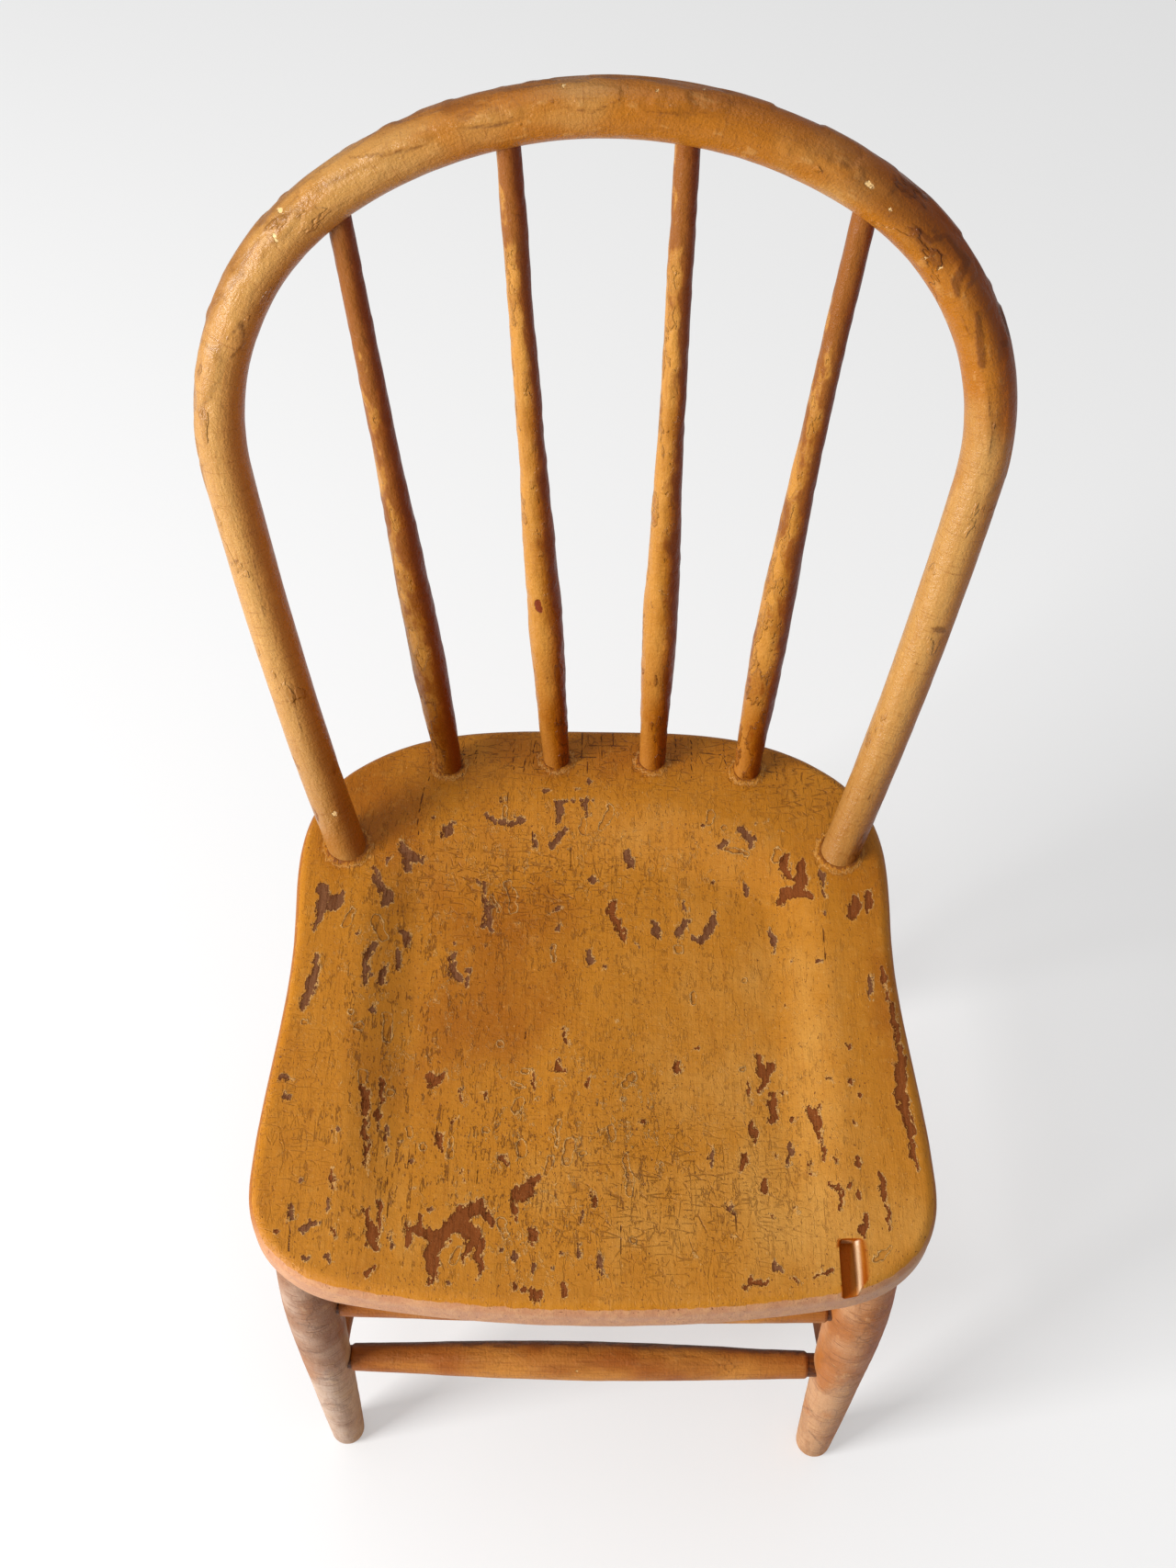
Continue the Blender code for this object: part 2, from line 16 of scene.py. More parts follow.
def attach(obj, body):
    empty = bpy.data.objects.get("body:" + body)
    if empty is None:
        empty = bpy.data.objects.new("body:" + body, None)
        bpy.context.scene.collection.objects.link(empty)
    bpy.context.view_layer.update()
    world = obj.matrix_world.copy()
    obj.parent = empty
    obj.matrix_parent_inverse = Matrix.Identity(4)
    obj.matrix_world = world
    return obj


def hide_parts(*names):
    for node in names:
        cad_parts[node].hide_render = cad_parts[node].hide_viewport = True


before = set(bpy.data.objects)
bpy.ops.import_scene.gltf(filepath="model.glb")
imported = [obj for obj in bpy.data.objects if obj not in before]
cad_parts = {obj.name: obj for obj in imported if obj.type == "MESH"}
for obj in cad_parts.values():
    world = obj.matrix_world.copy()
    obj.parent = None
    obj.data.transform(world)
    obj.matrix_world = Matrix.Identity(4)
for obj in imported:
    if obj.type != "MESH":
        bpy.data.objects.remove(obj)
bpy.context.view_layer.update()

MM = 0.001

# Camera, solved from the photograph
IMAGE_WIDTH, IMAGE_HEIGHT = 1280, 1707
CAMERA_AT = np.array([-0.01701, -0.44040, 1.05000])
CAMERA_DOWN = math.radians(54.62)     # below level
CAMERA_TURN = math.radians(1.50)      # to the right of straight on
CAMERA_ROLL = math.radians(1.94)
FOCAL_PIXELS = 1974.92
SENSOR = 36.0

# Seat plank, as in the solids
SEAT_TOP = 0.295
SEAT_THICKNESS = 0.020
SEAT_HALF = 0.1525
SEAT_DEPTH = 0.3105
SEAT_FRONT_Y = -0.178681
TOP_ROUND = 0.0060
BOTTOM_ROUND = 0.0035
# Knots of half its outline: across, behind the front edge, heading in degrees
SEAT_KNOTS = ((0.0, 0.0, 0), (0.1050, 0.0083, 9), (0.1390, 0.0240, 44), (0.1525, 0.0620, 91),
              (0.1446, 0.1780, 90), (0.1461, 0.2265, 91), (0.1235, 0.2830, 140), (0.0, 0.3105, 180))
FRONT_CORNER, BACK_CORNER = 2, 6      # the knots where the front and the back edge end
OUTLINE_SAMPLES = 60                  # points from each knot to the next
KNOT_REACH = 0.36                     # a curve's handles, as a share of its chord
SADDLE_DEPTH = 0.0068
SADDLE_SIDE_RIM = 0.0370
SADDLE_BACK_RIM = 0.0410
SADDLE_ARCH = 0.0420
SADDLE_WALL = 0.0320
SADDLE_RUN_OUT = 0.1150
POMMEL_RISE = 0.0022
POMMEL_HALF_WIDTH = 0.0300
NOTCH_LEFT, NOTCH_RIGHT = 0.1066, 0.1134   # the floor of the pocket; its right lip is worn wider
NOTCH_LIPS = 0.0007, 0.0058            # how wide the left and the right lip are worn
NOTCH_BACK_LIP = 0.0012
NOTCH_BACK = SEAT_FRONT_Y + 0.0330
NOTCH_FLOOR = SEAT_TOP - 0.0050

# Bent hoop, as in the solids
HOOP_LEAN = math.radians(18.0)
HOOP_FOOT_HALF = 0.1227
HOOP_FOOT_Y = SEAT_FRONT_Y + SEAT_DEPTH - 0.0756
HOOP_CROWN_TURN = math.radians(34.4)
HOOP_SHOULDER_R = 0.127
HOOP_TOE_IN = math.radians(8.15)
HOOP_LEG_LENGTH = 0.2077
HOOP_LEG_BOW_R = 2.27
HOOP_CROWN_R, HOOP_SIDE_R, HOOP_FOOT_R = 0.0112, 0.0107, 0.0095
HOOP_SUNK = 0.0150                    # how far each foot goes down into the seat

# How finely each surface is cut, and measures of the turned pieces, as in the solids
SEAT_CELLS = (262, 256)
HOOP_RINGS, HOOP_SIDES = 960, 60
SPINDLE_RINGS, SPINDLE_SIDES = 330, 48
LEG_RINGS, LEG_SIDES = 360, 72
STRETCHER_RINGS, STRETCHER_SIDES = 420, 44
SPINDLE_SUNK = 0.0144
SPINDLE_OUTLINE = ((0.0, 0.0065), (0.22, 0.0081), (0.62, 0.00575), (0.96, 0.0050), (1.0, 0.0050))
SPINDLE_BROWN = (0.8, -0.1, 0.1, 0.6)  # how far each one's brown coat has stayed
SPINDLE_BOWS = ((0.0, 0.0), (0.0, 0.0), (0.0, 0.0), (-0.0025, 0.0))    # across, and to the front
LEG_RADII = {"front_left": (0.0131, 0.0090), "front_right": (0.0143, 0.0096),
             "rear_left": (0.0131, 0.0090), "rear_right": (0.0131, 0.0090)}
LEG_FOOT_TUCK = 0.0012                # how far the worn foot's profile starts below the floor
LEG_SUNK = 0.0134
LEG_TENON_R = 0.0095
LEG_BELLY_BELOW_SEAT = 0.068
STRETCHER_MIDDLE_R = {"stretcher_front_lower": 0.0097, "stretcher_front_upper": 0.0085,
                      "stretcher_left": 0.0085, "stretcher_right": 0.0085, "stretcher_rear": 0.0085}
STRETCHER_END_R = 0.0069
STRETCHER_TENON_R = 0.0059

# How far the worn feet, the chips, the old dents and their rims, the paint round the rods' feet,
# the hoop's sags and the blisters stand off the solids
FOOT_ROUND, FOOT_ROUND_HIGH = 4.2 * MM, 6.0 * MM
CHIP_DEPTH, DENT_DEPTH, RIM_RISE = 0.22 * MM, 0.12 * MM, 0.06 * MM
FILLET_RISE, SAG_RISE, BLISTER_RISE = 1.2 * MM, 0.7 * MM, 0.35 * MM
FAR_FROM_MARKS = 9.0                  # mm, where no mark is near

# On the rods, strokes written as the seat's chips are: dark runs and spots, nicks, and raised
# blisters
MARKS = {
    "hoop": {
        "mark": ((600, 110, 2.5), ((993, 245, 2), (1012, 262, 4), (1029, 256, 3), (1052, 284, 5),
            (1040, 307, 6), (1042, 322, 3)), ((1063, 341, 3), (1066, 366, 5), (1069, 397, 5)),
            (1094, 374, 5), ((617, 118, 1.2), (645, 122, 1.5), (673, 109, 1.2)), ((1016, 685, 3),
            (1025, 686, 4)), ((700, 120, 1), (735, 124, 1.6), (775, 122, 1)), (257, 611, 2.5),
            ((380, 172, 1), (420, 168, 2), (470, 156, 1)), ((500, 140, 1), (540, 136, 2.2), (570, 128, 1)),
            (1008, 632, 1.2), (1049, 605, 1.4), ((245, 372, 0.8), (262, 350, 1.2), (266, 372, 1),
            (250, 390, 1.2)), ((316, 746, 0.8), (321, 772, 1), (328, 795, 0.8)), ((275, 604, 0.7),
            (287, 671, 0.7)), ((1075, 432, 1), (1080, 470, 1), (1076, 493, 1)), ((1046, 345, 1),
            (1055, 362, 1.4))),
        "nick": ((614, 93, 2), (683, 94, 1.6), (715, 99, 2.2), (731, 115, 1.8), (766, 97, 1.6),
            ((944, 200, 3.2), (950, 204, 2)), (969, 228, 2.4), (305, 229, 3.4), ((299, 255, 2),
            (301, 262, 2)), (270, 288, 1.6), (364, 886, 3), ((1004, 282, 0.9), (1018, 277, 0.9)),
            ((1014, 296, 0.9), (1028, 290, 0.9))),
        "blister": (((256, 356, 7), (258, 376, 7)), ((1041, 341, 5), (1055, 363, 5)), ((1072, 414, 4),
            (1076, 493, 4)), ((640, 108, 16), (665, 105, 12)), ((720, 110, 12), (780, 112, 14)),
            ((480, 136, 9), (560, 122, 9)), ((400, 172, 8), (460, 150, 8)), ((300, 240, 9), (280, 275, 7)),
            ((1035, 275, 9), (1070, 330, 9)), ((860, 160, 10), (930, 190, 10)))},
    "spindle_2": {
        "nick": (((585, 656, 3.5), (587, 664, 3.5)),),
        "mark": (((557, 233, 1.2), (566, 236, 1.5)),)},
    "stretcher_front_upper": {
        "mark": (((905, 1428, 1.2), (906, 1440, 1.2)),)},
    "stretcher_front_lower": {
        "mark": (((786, 1488, 0.6), (793, 1482, 0.6), (800, 1488, 0.6), (793, 1494, 0.6),
            (786, 1488, 0.6)),),
        "nick": ((784, 1487, 0.8), (628, 1493, 1.4), (777, 1489, 0.6))},
    "leg_front_right": {
        "mark": (((930, 1433, 0.8), (944, 1441, 1), (956, 1448, 0.8)), ((880, 1557, 0.9), (896, 1576, 0.8)),
            ((928, 1452, 0.7), (950, 1466, 0.7)), ((872, 1530, 0.6), (884, 1536, 0.8)))},
    "leg_front_left": {
        "mark": (((322, 1440, 0.6), (344, 1446, 0.8), (358, 1442, 0.6)), ((330, 1470, 0.6),
            (352, 1474, 0.7)), ((345, 1500, 0.6), (368, 1503, 0.8)), ((352, 1528, 0.6), (376, 1530, 0.6)))}}

# Broad tones of the seat's paint, partly painted light: lighter on the hollow's right wall,
# which faces the light, and darker on the rim beyond it. Then where the paint is crazed, split
# and flaky. Each zone: x, y, half width and half depth in the photograph's pixels, and an amount
TONE_AND_SHADING_ZONES = ((545, 1065, 70, 110, -0.62), (480, 1150, 60, 90, -0.35), (560, 985, 130, 50, -0.30),
              (905, 1130, 55, 120, 0.40), (340, 1350, 110, 90, -0.05), (900, 1350, 120, 90, 0.50),
              (780, 1130, 100, 130, 0.30), (660, 815, 240, 40, -0.65), (400, 880, 70, 60, -1.00),
              (930, 920, 50, 80, -0.35), (965, 1100, 35, 130, -0.60), (640, 1300, 260, 70, 0.25),
              (310, 1230, 50, 120, -0.25), (700, 920, 160, 50, 0.25))
CRAZED_ZONES = ((660, 820, 300, 45, 1.0), (560, 955, 160, 55, 1.0), (730, 1310, 150, 80, 1.1),
                (900, 870, 80, 50, 0.8), (310, 1230, 50, 140, 0.55), (700, 1100, 300, 160, 0.25))
SPLIT_ZONES = ((640, 1280, 320, 120, 0.9), (640, 980, 320, 160, 0.7), (420, 1150, 90, 220, 0.6))
FLAKY_ZONES = ((590, 1230, 120, 70, 1.1), (440, 1080, 90, 110, 0.8), (690, 1210, 60, 80, 0.7),
               (640, 930, 190, 70, 0.7), (560, 1340, 90, 60, 0.8), (860, 1180, 80, 100, 0.4))

# Paint colours
SEAT_OCHRE, SEAT_DEEP, SEAT_PALE, SEAT_GRAIN = "#b87518", "#a05c04", "#c88d3c", "#965406"
BAND_LIGHT, BAND_DARK = "#c59066", "#b8805a"
RED_COAT, GREY_COAT, COAT_GRAIN, COAT_PALE = "#7e431c", "#774c30", "#54290f", "#a07349"
# Pale specks and painted highlights, dark cracks and painted shadows, dark specks, painted shade at rod feet
SPECK_AND_HIGHLIGHT_PALE, CRACK_AND_SHADE_DARK, SPECK, FOOT_RING_SHADE = "#deb070", "#5e2c0a", "#5e3212", "#6c3408"
# The pocket's floor and worn lip, and a painted highlight along the lip
POCKET_ORANGE, LIP_TAN, LIP_HIGHLIGHT = "#964000", "#a05c14", "#e2c29a"

# The paint on the rods, a look for each kind. The coat itself goes from dark to light; streak,
# worn, ring, speck, pool, edge, shade, stain and nick lie over it, and right tints what faces
# right, away from the light, darker and more saturated as painted shade. streaks, wear, rings,
# specks, pools and edges say how strongly, from 0 to 1. gloss is the least roughness and sheen
# the specular level. lumps, fine, ring_depth and pool_depth are heights in metres. Pools are
# pool_size across, pool_long times as long, and begin at noise level pool_from.
LEG_LOOK = dict(
    name="thin pinkish paint, worn over turning rings",
    light="#bfa28c", dark="#96694a", streak="#86583c", worn="#c4a384", ring="#6e4020", speck="#5b3520",
    pool="#a0602c", edge="#70431f", stain="#5e3a22", shade="#7a4a2c", nick="#c8ab90", right="#f4d8b0",
    streaks=0.3, wear=0.5, rings=0.8, specks=0.6, pools=0.35, edges=0.2, gloss=0.46, sheen=0.2,
    lumps=0.0005, fine=0.0002, ring_depth=0.0005, pool_depth=0.0001,
    pool_size=16 * MM, pool_long=2.0, pool_from=0.52)
LOOKS = {
    # Glossy enamel that stays smooth in front, and has sagged into brown-edged patches behind;
    # painted shadow under each sag's step, painted shade in part of the right shoulder's brown, and
    # painted light in part of the left side's paleness
    "hoop": dict(
        name="tan enamel, brushed thick and sagged",
        light="#be8c4a", dark="#ae6a18", streak="#9c5c18", worn="#d8a662", ring="#8a5018", speck="#5b2c10",
        pool="#a0600f", edge="#8f500c", stain="#5a2a08", shade="#7a420a", nick="#e6bd80", right="#f2c070",
        streaks=0.35, wear=0.30, rings=0.35, specks=0.6, pools=0.5, edges=0.15, gloss=0.22, sheen=0.28,
        lumps=0.0008, fine=0.0004, ring_depth=0.00008, pool_depth=0.0005,
        pool_size=15 * MM, pool_long=2.2, pool_from=0.52),
    # The same enamel on the spindles, darker and lumpier, rubbed back to ochre in places and ochre in
    # front; browner at both sides and on the right as painted shade, and paler on the left as painted light
    "spindle": dict(
        name="orange-brown enamel, brushed thick and lumpy",
        light="#c18638", dark="#9f600e", streak="#874608", worn="#cf9448", ring="#7c4010", speck="#54280c",
        pool="#7c3e08", edge="#643006", stain="#5a2a08", shade="#8a4200", nick="#7a3418", right="#eab058",
        streaks=0.25, wear=0.3, rings=0.25, specks=0.5, pools=0.8, edges=0.2, gloss=0.26, sheen=0.22,
        lumps=0.001, fine=0.0003, ring_depth=0.00010, pool_depth=0.0005,
        pool_size=8 * MM, pool_long=2.4, pool_from=0.48),
    # Thin worn paint, greyed and pinkish, over turning rings: the left legs
    "leg_left": LEG_LOOK,
    # The right legs keep more of their orange
    "leg_right": dict(
        LEG_LOOK, name="thin orange paint, worn over turning rings",
        light="#c09066", dark="#a8662e", streak="#98592a", worn="#d2a577", ring="#7d4820",
        pool="#aa6222", edge="#74421c", stain="#5e3820", nick="#d6b48c", right="#f4cc90",
        wear=0.4, rings=0.9, pools=0.45, gloss=0.44),
    # Brown enamel with painted shade along the back edge, under the seat, and tan where it has worn off
    "stretcher": dict(
        name="brown enamel, brushed on and rubbed through to tan",
        light="#c07e34", dark="#a05a20", streak="#713a12", worn="#c08c50", ring="#6c3816", speck="#4c2412",
        pool="#7e3c12", edge="#54260a", stain="#4c260e", shade="#451e06", nick="#d0a868", right="#ffffff",
        streaks=0.45, wear=0.15, rings=0.15, specks=0.6, pools=0.2, edges=0.1, gloss=0.40, sheen=0.22,
        lumps=0.0006, fine=0.0003, ring_depth=0.00015, pool_depth=0.0001,
        pool_size=10 * MM, pool_long=3.0, pool_from=0.53),
}

# What each point of a rod and of the seat tells its material
ROD_SHARES = ("right", "mark", "nick", "rough", "shade", "pale", "edge")
SEAT_SHARES = ("on_top", "tone", "crazing", "splits", "flaky", "peel", "lee", "old_chip", "crack",
               "grey_coat", "pocket", "lip", "polish_and_highlight", "foot")

# Light and floor
WORLD_STRENGTH = 0.36
KEY_LAMP = ((-2.0, -0.95, 1.15), (0.0, 0.0, 0.3), 0.9, 72.0)
TOP_LAMP = ((-0.3, 0.2, 2.8), (0.0, 0.0, 0.0), 2.2, 20.0)
PAPER_LIT = "#c9c9c9"                 # the part of the floor's white that shadows fall on
PAPER_GLOW = 0.34                     # and the part that the camera sees all the same
PAPER = "#e8e8e8"                     # the floor as it lights the chair from below
PAPER_HALF = 3.0

# Chips in the seat's paint, each a chain of (x, y, radius) beads read off the photograph, in its
# pixels; one bead by itself is written without its own brackets. The red ones show
# red-brown undercoat, the grey ones older grey-purple.
RED_CHIPS = {
    "front_left_big": (((465, 1342, 6), (474, 1352, 7), (468, 1364, 8), (470, 1378, 8), (471, 1388, 5),
        (465, 1397, 1.5)), ((443, 1331, 4), (443, 1345, 5), (441, 1356, 4)), ((458, 1323, 2.5),
        (457, 1334, 3.5), (460, 1342, 5)), ((448, 1338, 4), (460, 1340, 4), (472, 1346, 6), (485, 1342, 7),
        (497, 1330, 10), (505, 1322, 8)), ((505, 1322, 8), (518, 1314, 8), (522, 1310, 6)), ((496, 1330, 8),
        (500, 1316, 5)), ((500, 1332, 9), (510, 1338, 9), (520, 1350, 7), (520, 1360, 6), (519, 1372, 4),
        (524, 1381, 4)), ((524, 1381, 3), (520, 1393, 1.2)), ((522, 1316, 6), (530, 1322, 4),
        (535, 1331, 4)), ((512, 1350, 5), (508, 1362, 4), (504, 1373, 2)), ((476, 1356, 7),
        (484, 1348, 6))),
    "front_left_hook": (((560, 1290, 2), (562, 1302, 4), (568, 1300, 8), (575, 1290, 7), (582, 1284, 5),
        (588, 1279, 3)), ((559, 1298, 3), (560, 1312, 3), (561, 1328, 1.5)), ((572, 1302, 5),
        (579, 1300, 4))),
    "left_edge_fork": (((398, 1316, 3), (400, 1328, 3), (405, 1340, 7), (404, 1350, 6), (408, 1358, 3.5),
        (411, 1363, 1.5)), ((412, 1306, 2.5), (413, 1318, 3), (413, 1334, 3.5), (408, 1345, 5))),
    "left_long": (((394, 1183, 3), (398, 1190, 5), (398, 1208, 4.5), (397, 1225, 3.5), (398, 1240, 3)),
        ((398, 1240, 3), (398, 1255, 3), (397, 1266, 2), (399, 1277, 1.2))),
    "left_long_beside": (((414, 1173, 2.5), (414, 1188, 3), (413, 1203, 3), (411, 1218, 3),
        (410, 1233, 1.5)),),
    "left_fleck": (((469, 1172, 5), (473, 1178, 5), (480, 1174, 3), (485, 1169, 3)), (470, 1182, 3)),
    "right_rim_strip": (((971, 1093, 2.5), (974, 1108, 3.5), (976, 1127, 4), (980, 1150, 5),
        (980, 1175, 6.5), (982, 1190, 8)), ((982, 1190, 7), (984, 1205, 5), (988, 1218, 5),
        (991, 1232, 4.5), (993, 1245, 3)), ((993, 1245, 3), (994, 1258, 4), (998, 1271, 1.5)),
        ((963, 1068, 3), (966, 1087, 2)), ((960, 1055, 2), (963, 1068, 3))),
    "under_right_foot": (((874, 936, 3), (872, 948, 6.5), (872, 962, 7), (866, 970, 7), (856, 972, 6),
        (849, 983, 4)), ((866, 968, 6), (877, 973, 5), (884, 977, 3)), ((857, 930, 3), (853, 944, 5),
        (858, 954, 4))),
    "beside_right_foot": (((930, 978, 5), (930, 987, 7.5), (926, 997, 5)), ((944, 971, 3), (946, 981, 5),
        (943, 990, 3))),
    "middle_slash": (((666, 983, 4), (664, 993, 5), (671, 1003, 4), (676, 1015, 4), (679, 1025, 2)),),
    "right_cluster": (((824, 1148, 2.5), (827, 1158, 4), (830, 1168, 5), (834, 1176, 4), (828, 1187, 3)),
        ((833, 1170, 4), (840, 1163, 4.5), (842, 1158, 3)), ((815, 1180, 2), (815, 1190, 2.2),
        (817, 1198, 3)), ((840, 1192, 3.5), (841, 1205, 4.5), (842, 1215, 5), (839, 1221, 4)),
        (851, 1190, 2.8), ((819, 1223, 3), (821, 1232, 5), (823, 1244, 2)), ((811, 1260, 5), (808, 1268, 4),
        (806, 1277, 1.5)), (845, 1258, 3), (863, 1218, 3.2), ((880, 1204, 3), (886, 1213, 6),
        (890, 1225, 4), (892, 1240, 2)), ((892, 1204, 1.5), (888, 1213, 4)), ((892, 1240, 1.5),
        (897, 1252, 3.5), (896, 1262, 2)), ((831, 1285, 2.5), (832, 1297, 3.5)), ((884, 1265, 2),
        (884, 1277, 2)), (909, 1263, 2.5)),
    "right_front_flecks": (((906, 1290, 3.5), (913, 1295, 4), (915, 1306, 3), (916, 1319, 1.2)),
        (923, 1291, 3), ((935, 1301, 4), (934, 1296, 2)), ((941, 1323, 3.5), (940, 1333, 4),
        (938, 1342, 4)), ((958, 1278, 2.5), (959, 1292, 3), (963, 1303, 2), (966, 1316, 2),
        (967, 1339, 1.5)), ((903, 1175, 2.5), (905, 1179, 1.5)), (925, 1177, 3), (935, 1192, 2.3),
        (930, 1222, 2.8), ((931, 1258, 1.5), (934, 1267, 3.2)), ((924, 1137, 2.5), (926, 1143, 1.5)),
        (854, 1097, 2.3), ((889, 1392, 2.5), (896, 1386, 2), (905, 1383, 3)), ((866, 1392, 2),
        (870, 1396, 1.5))),
    "front_middle": (((810, 1401, 2.5), (819, 1395, 4), (826, 1399, 3.5), (834, 1396, 2.5)),
        ((556, 1398, 3), (562, 1402, 3.5), (570, 1405, 2.5), (577, 1406, 4), (586, 1409, 5),
        (583, 1416, 2.5)), ((613, 1400, 3.5), (614, 1410, 2)), (755, 1367, 2.3), (797, 1346, 2),
        (840, 1324, 1.8)),
    "middle_specks": (((736, 1157, 3), (737, 1165, 5.5)), (704, 1167, 2.2), ((759, 1141, 3.2),
        (762, 1137, 1.2)), ((608, 1156, 3), (609, 1165, 4.5), (614, 1168, 2)), (699, 1221, 2.6),
        ((641, 1172, 1.2), (641, 1184, 2)), ((615, 1118, 1.2), (615, 1127, 2.5), (618, 1138, 1.5)),
        (670, 1111, 1.6), ((546, 1261, 4), (550, 1268, 2)), ((504, 1273, 1.6), (503, 1286, 1.2)),
        ((581, 1168, 2), (579, 1176, 3.2), (581, 1185, 1.5)), ((480, 1234, 4), (478, 1243, 3.5),
        (481, 1253, 1.5)), ((579, 1338, 2.5), (579, 1345, 4.5), (579, 1353, 1.5)), ((502, 1188, 2.8),
        (502, 1199, 1.2)), ((528, 1190, 2.5), (529, 1198, 1.2)), (631, 1240, 1.2), ((644, 1297, 2.2),
        (646, 1311, 2.5)), ((493, 1222, 1.2), (498, 1216, 1.5)), (450, 1295, 1.8)),
    "left_rim_flecks": (((361, 1271, 2.2), (362, 1283, 2.5), (362, 1294, 2)), ((402, 1384, 3.5),
        (407, 1378, 1.5), (398, 1387, 2.5)), ((363, 1336, 1.8), (363, 1347, 1.6)), (300, 1341, 2.5))}
GREY_CHIPS = {
    "left_foot_pair": (((352, 966, 6), (352, 978, 7.5), (349, 990, 6), (344, 1004, 3), (342, 1012, 1.2)),
        ((359, 987, 6), (367, 979, 8), (374, 972, 4))),
    "left_edge_slash": (((346, 1040, 2.5), (343, 1056, 5), (338, 1073, 5.5), (332, 1088, 4),
        (329, 1101, 2)),),
    "inside_left_foot": (((435, 914, 2), (438, 923, 3.5), (444, 930, 6.5), (453, 934, 6.5),
        (460, 934, 2.5)), ((444, 932, 5), (443, 945, 4)), ((408, 945, 2), (410, 958, 4), (416, 965, 5),
        (423, 976, 5.5), (418, 985, 3)), ((420, 937, 2.5), (424, 935, 1.5)), ((488, 903, 5.5),
        (484, 909, 2.5), (492, 896, 2.5)), (471, 889, 1.8)),
    "left_hollow_column": (((408, 1028, 4.5), (403, 1035, 4), (398, 1040, 3), (398, 1055, 3.5),
        (396, 1071, 2)), (401, 1062, 2.8), ((420, 1050, 3), (416, 1060, 4), (413, 1071, 2.5)),
        ((434, 1035, 2.8), (433, 1045, 3.2), (433, 1056, 2)), ((436, 1013, 2.8), (442, 1018, 4.2),
        (443, 1030, 1.8)), (446, 1011, 1.6), ((408, 1092, 2), (406, 1101, 3.8)), (437, 1013, 2),
        (390, 1015, 1.8)),
    "hollow_slash": (((493, 1040, 2.2), (491, 1053, 4), (496, 1062, 5), (500, 1069, 3.5)),
        ((511, 1058, 2.6), (508, 1068, 2.5), (507, 1074, 1.2)), (495, 1027, 1.5)),
    "back_arc": (((530, 887, 2), (540, 895, 3.6), (554, 897, 4), (566, 893, 3.5), (573, 892, 1.6)),
        ((547, 868, 2), (548, 873, 1.5))),
    "back_middle": (((606, 872, 2.5), (624, 871, 1.6)), ((609, 873, 3), (609, 884, 4), (606, 896, 2)),
        (612, 888, 3), ((632, 871, 2), (643, 871, 2)), ((638, 873, 3.2), (637, 881, 2.2), (640, 889, 2.2)),
        ((616, 903, 3), (608, 910, 3.5), (601, 920, 4.2)), ((594, 861, 2.5), (600, 860, 1.4)),
        (641, 850, 2.3), (628, 859, 1.8), (582, 921, 2.8), ((580, 912, 1.2), (583, 918, 1.5)),
        (573, 944, 1.2)),
    "upright_fork": (((521, 960, 3), (527, 963, 3), (526, 975, 2.2), (531, 987, 3.8), (531, 1000, 3.8),
        (533, 1012, 3)), ((526, 1007, 3), (531, 1005, 3)), ((532, 988, 3), (540, 986, 1.4))),
    "back_right": (((683, 928, 2.5), (684, 936, 5), (688, 942, 4)), ((646, 958, 4), (643, 961, 2.5)),
        ((804, 901, 3), (811, 908, 5), (818, 913, 4.2), (817, 921, 3)), ((784, 921, 3.4), (789, 916, 2)),
        (765, 899, 3), ((811, 964, 2), (812, 972, 3.8)), ((894, 952, 3.2), (897, 965, 3), (897, 976, 1.6)),
        (822, 895, 1.2), (833, 894, 1.8), (775, 960, 1.8), (849, 904, 1.2)),
    "middle_row": (((709, 1003, 2), (714, 1006, 4), (714, 1014, 4.5), (716, 1021, 2)), ((746, 1003, 3.6),
        (741, 1010, 5.6), (738, 1018, 3.6), (739, 1026, 1.6)), ((777, 994, 2), (777, 1004, 4),
        (770, 1015, 4.6), (764, 1024, 4.6), (755, 1022, 4)), ((745, 981, 1.6), (745, 990, 1.8),
        (748, 994, 1.2)), ((608, 989, 4.2), (602, 992, 2)), (596, 994, 1.5), ((608, 1003, 1.4),
        (607, 1011, 2.6)), ((641, 1035, 3.6), (642, 1046, 4.2)), (601, 1032, 2.2), ((837, 1014, 2.2),
        (841, 1021, 4.4), (843, 1031, 2.6), (843, 1038, 1.2)), (659, 1052, 2.2), (693, 1009, 1.2),
        (692, 1029, 1.8), (892, 1046, 2.4), (861, 1045, 1.8), (897, 993, 2), (564, 1005, 1.2),
        (504, 1009, 1.1), (508, 1009, 1.1), (527, 1031, 1.2)),
    "front_grey": (((653, 1366, 2.8), (653, 1376, 4.2), (656, 1388, 2.4)), ((790, 1307, 2),
        (795, 1315, 3.6), (799, 1321, 1.6)), ((843, 1372, 2), (842, 1380, 3.4), (849, 1383, 2.4)),
        ((861, 1246, 2), (861, 1258, 2.6), (858, 1268, 2.4)), ((775, 1250, 2.2), (773, 1269, 1.2)),
        ((865, 1315, 2), (867, 1320, 1.4)), ((634, 1318, 2), (633, 1332, 2)), ((581, 1376, 2),
        (580, 1390, 2.2)), ((560, 1369, 3), (563, 1364, 2)), ((545, 1364, 1.6), (547, 1358, 1.4)),
        ((630, 1356, 2.4), (631, 1367, 2)), (612, 1364, 2.2), ((316, 1315, 3.4), (316, 1324, 4)),
        ((337, 1333, 4.6), (330, 1340, 4.4), (344, 1331, 2.6)), ((356, 1306, 2.2), (356, 1318, 1.8)),
        (326, 1286, 3), (332, 1370, 3), ((357, 1366, 3.2), (360, 1374, 1.8)), (448, 1265, 3),
        ((423, 1339, 1.4), (425, 1358, 1.6)), (467, 1316, 2.6), ((420, 1227, 2.2), (420, 1240, 2.6),
        (421, 1256, 2)), ((309, 1173, 4), (317, 1176, 3)), (312, 1193, 4), ((366, 1228, 1.4),
        (364, 1239, 2)), (488, 1398, 2), ((946, 1062, 1.4), (946, 1075, 2.2), (947, 1087, 1.2)),
        (369, 1181, 1.4), (600, 1381, 1.4))}
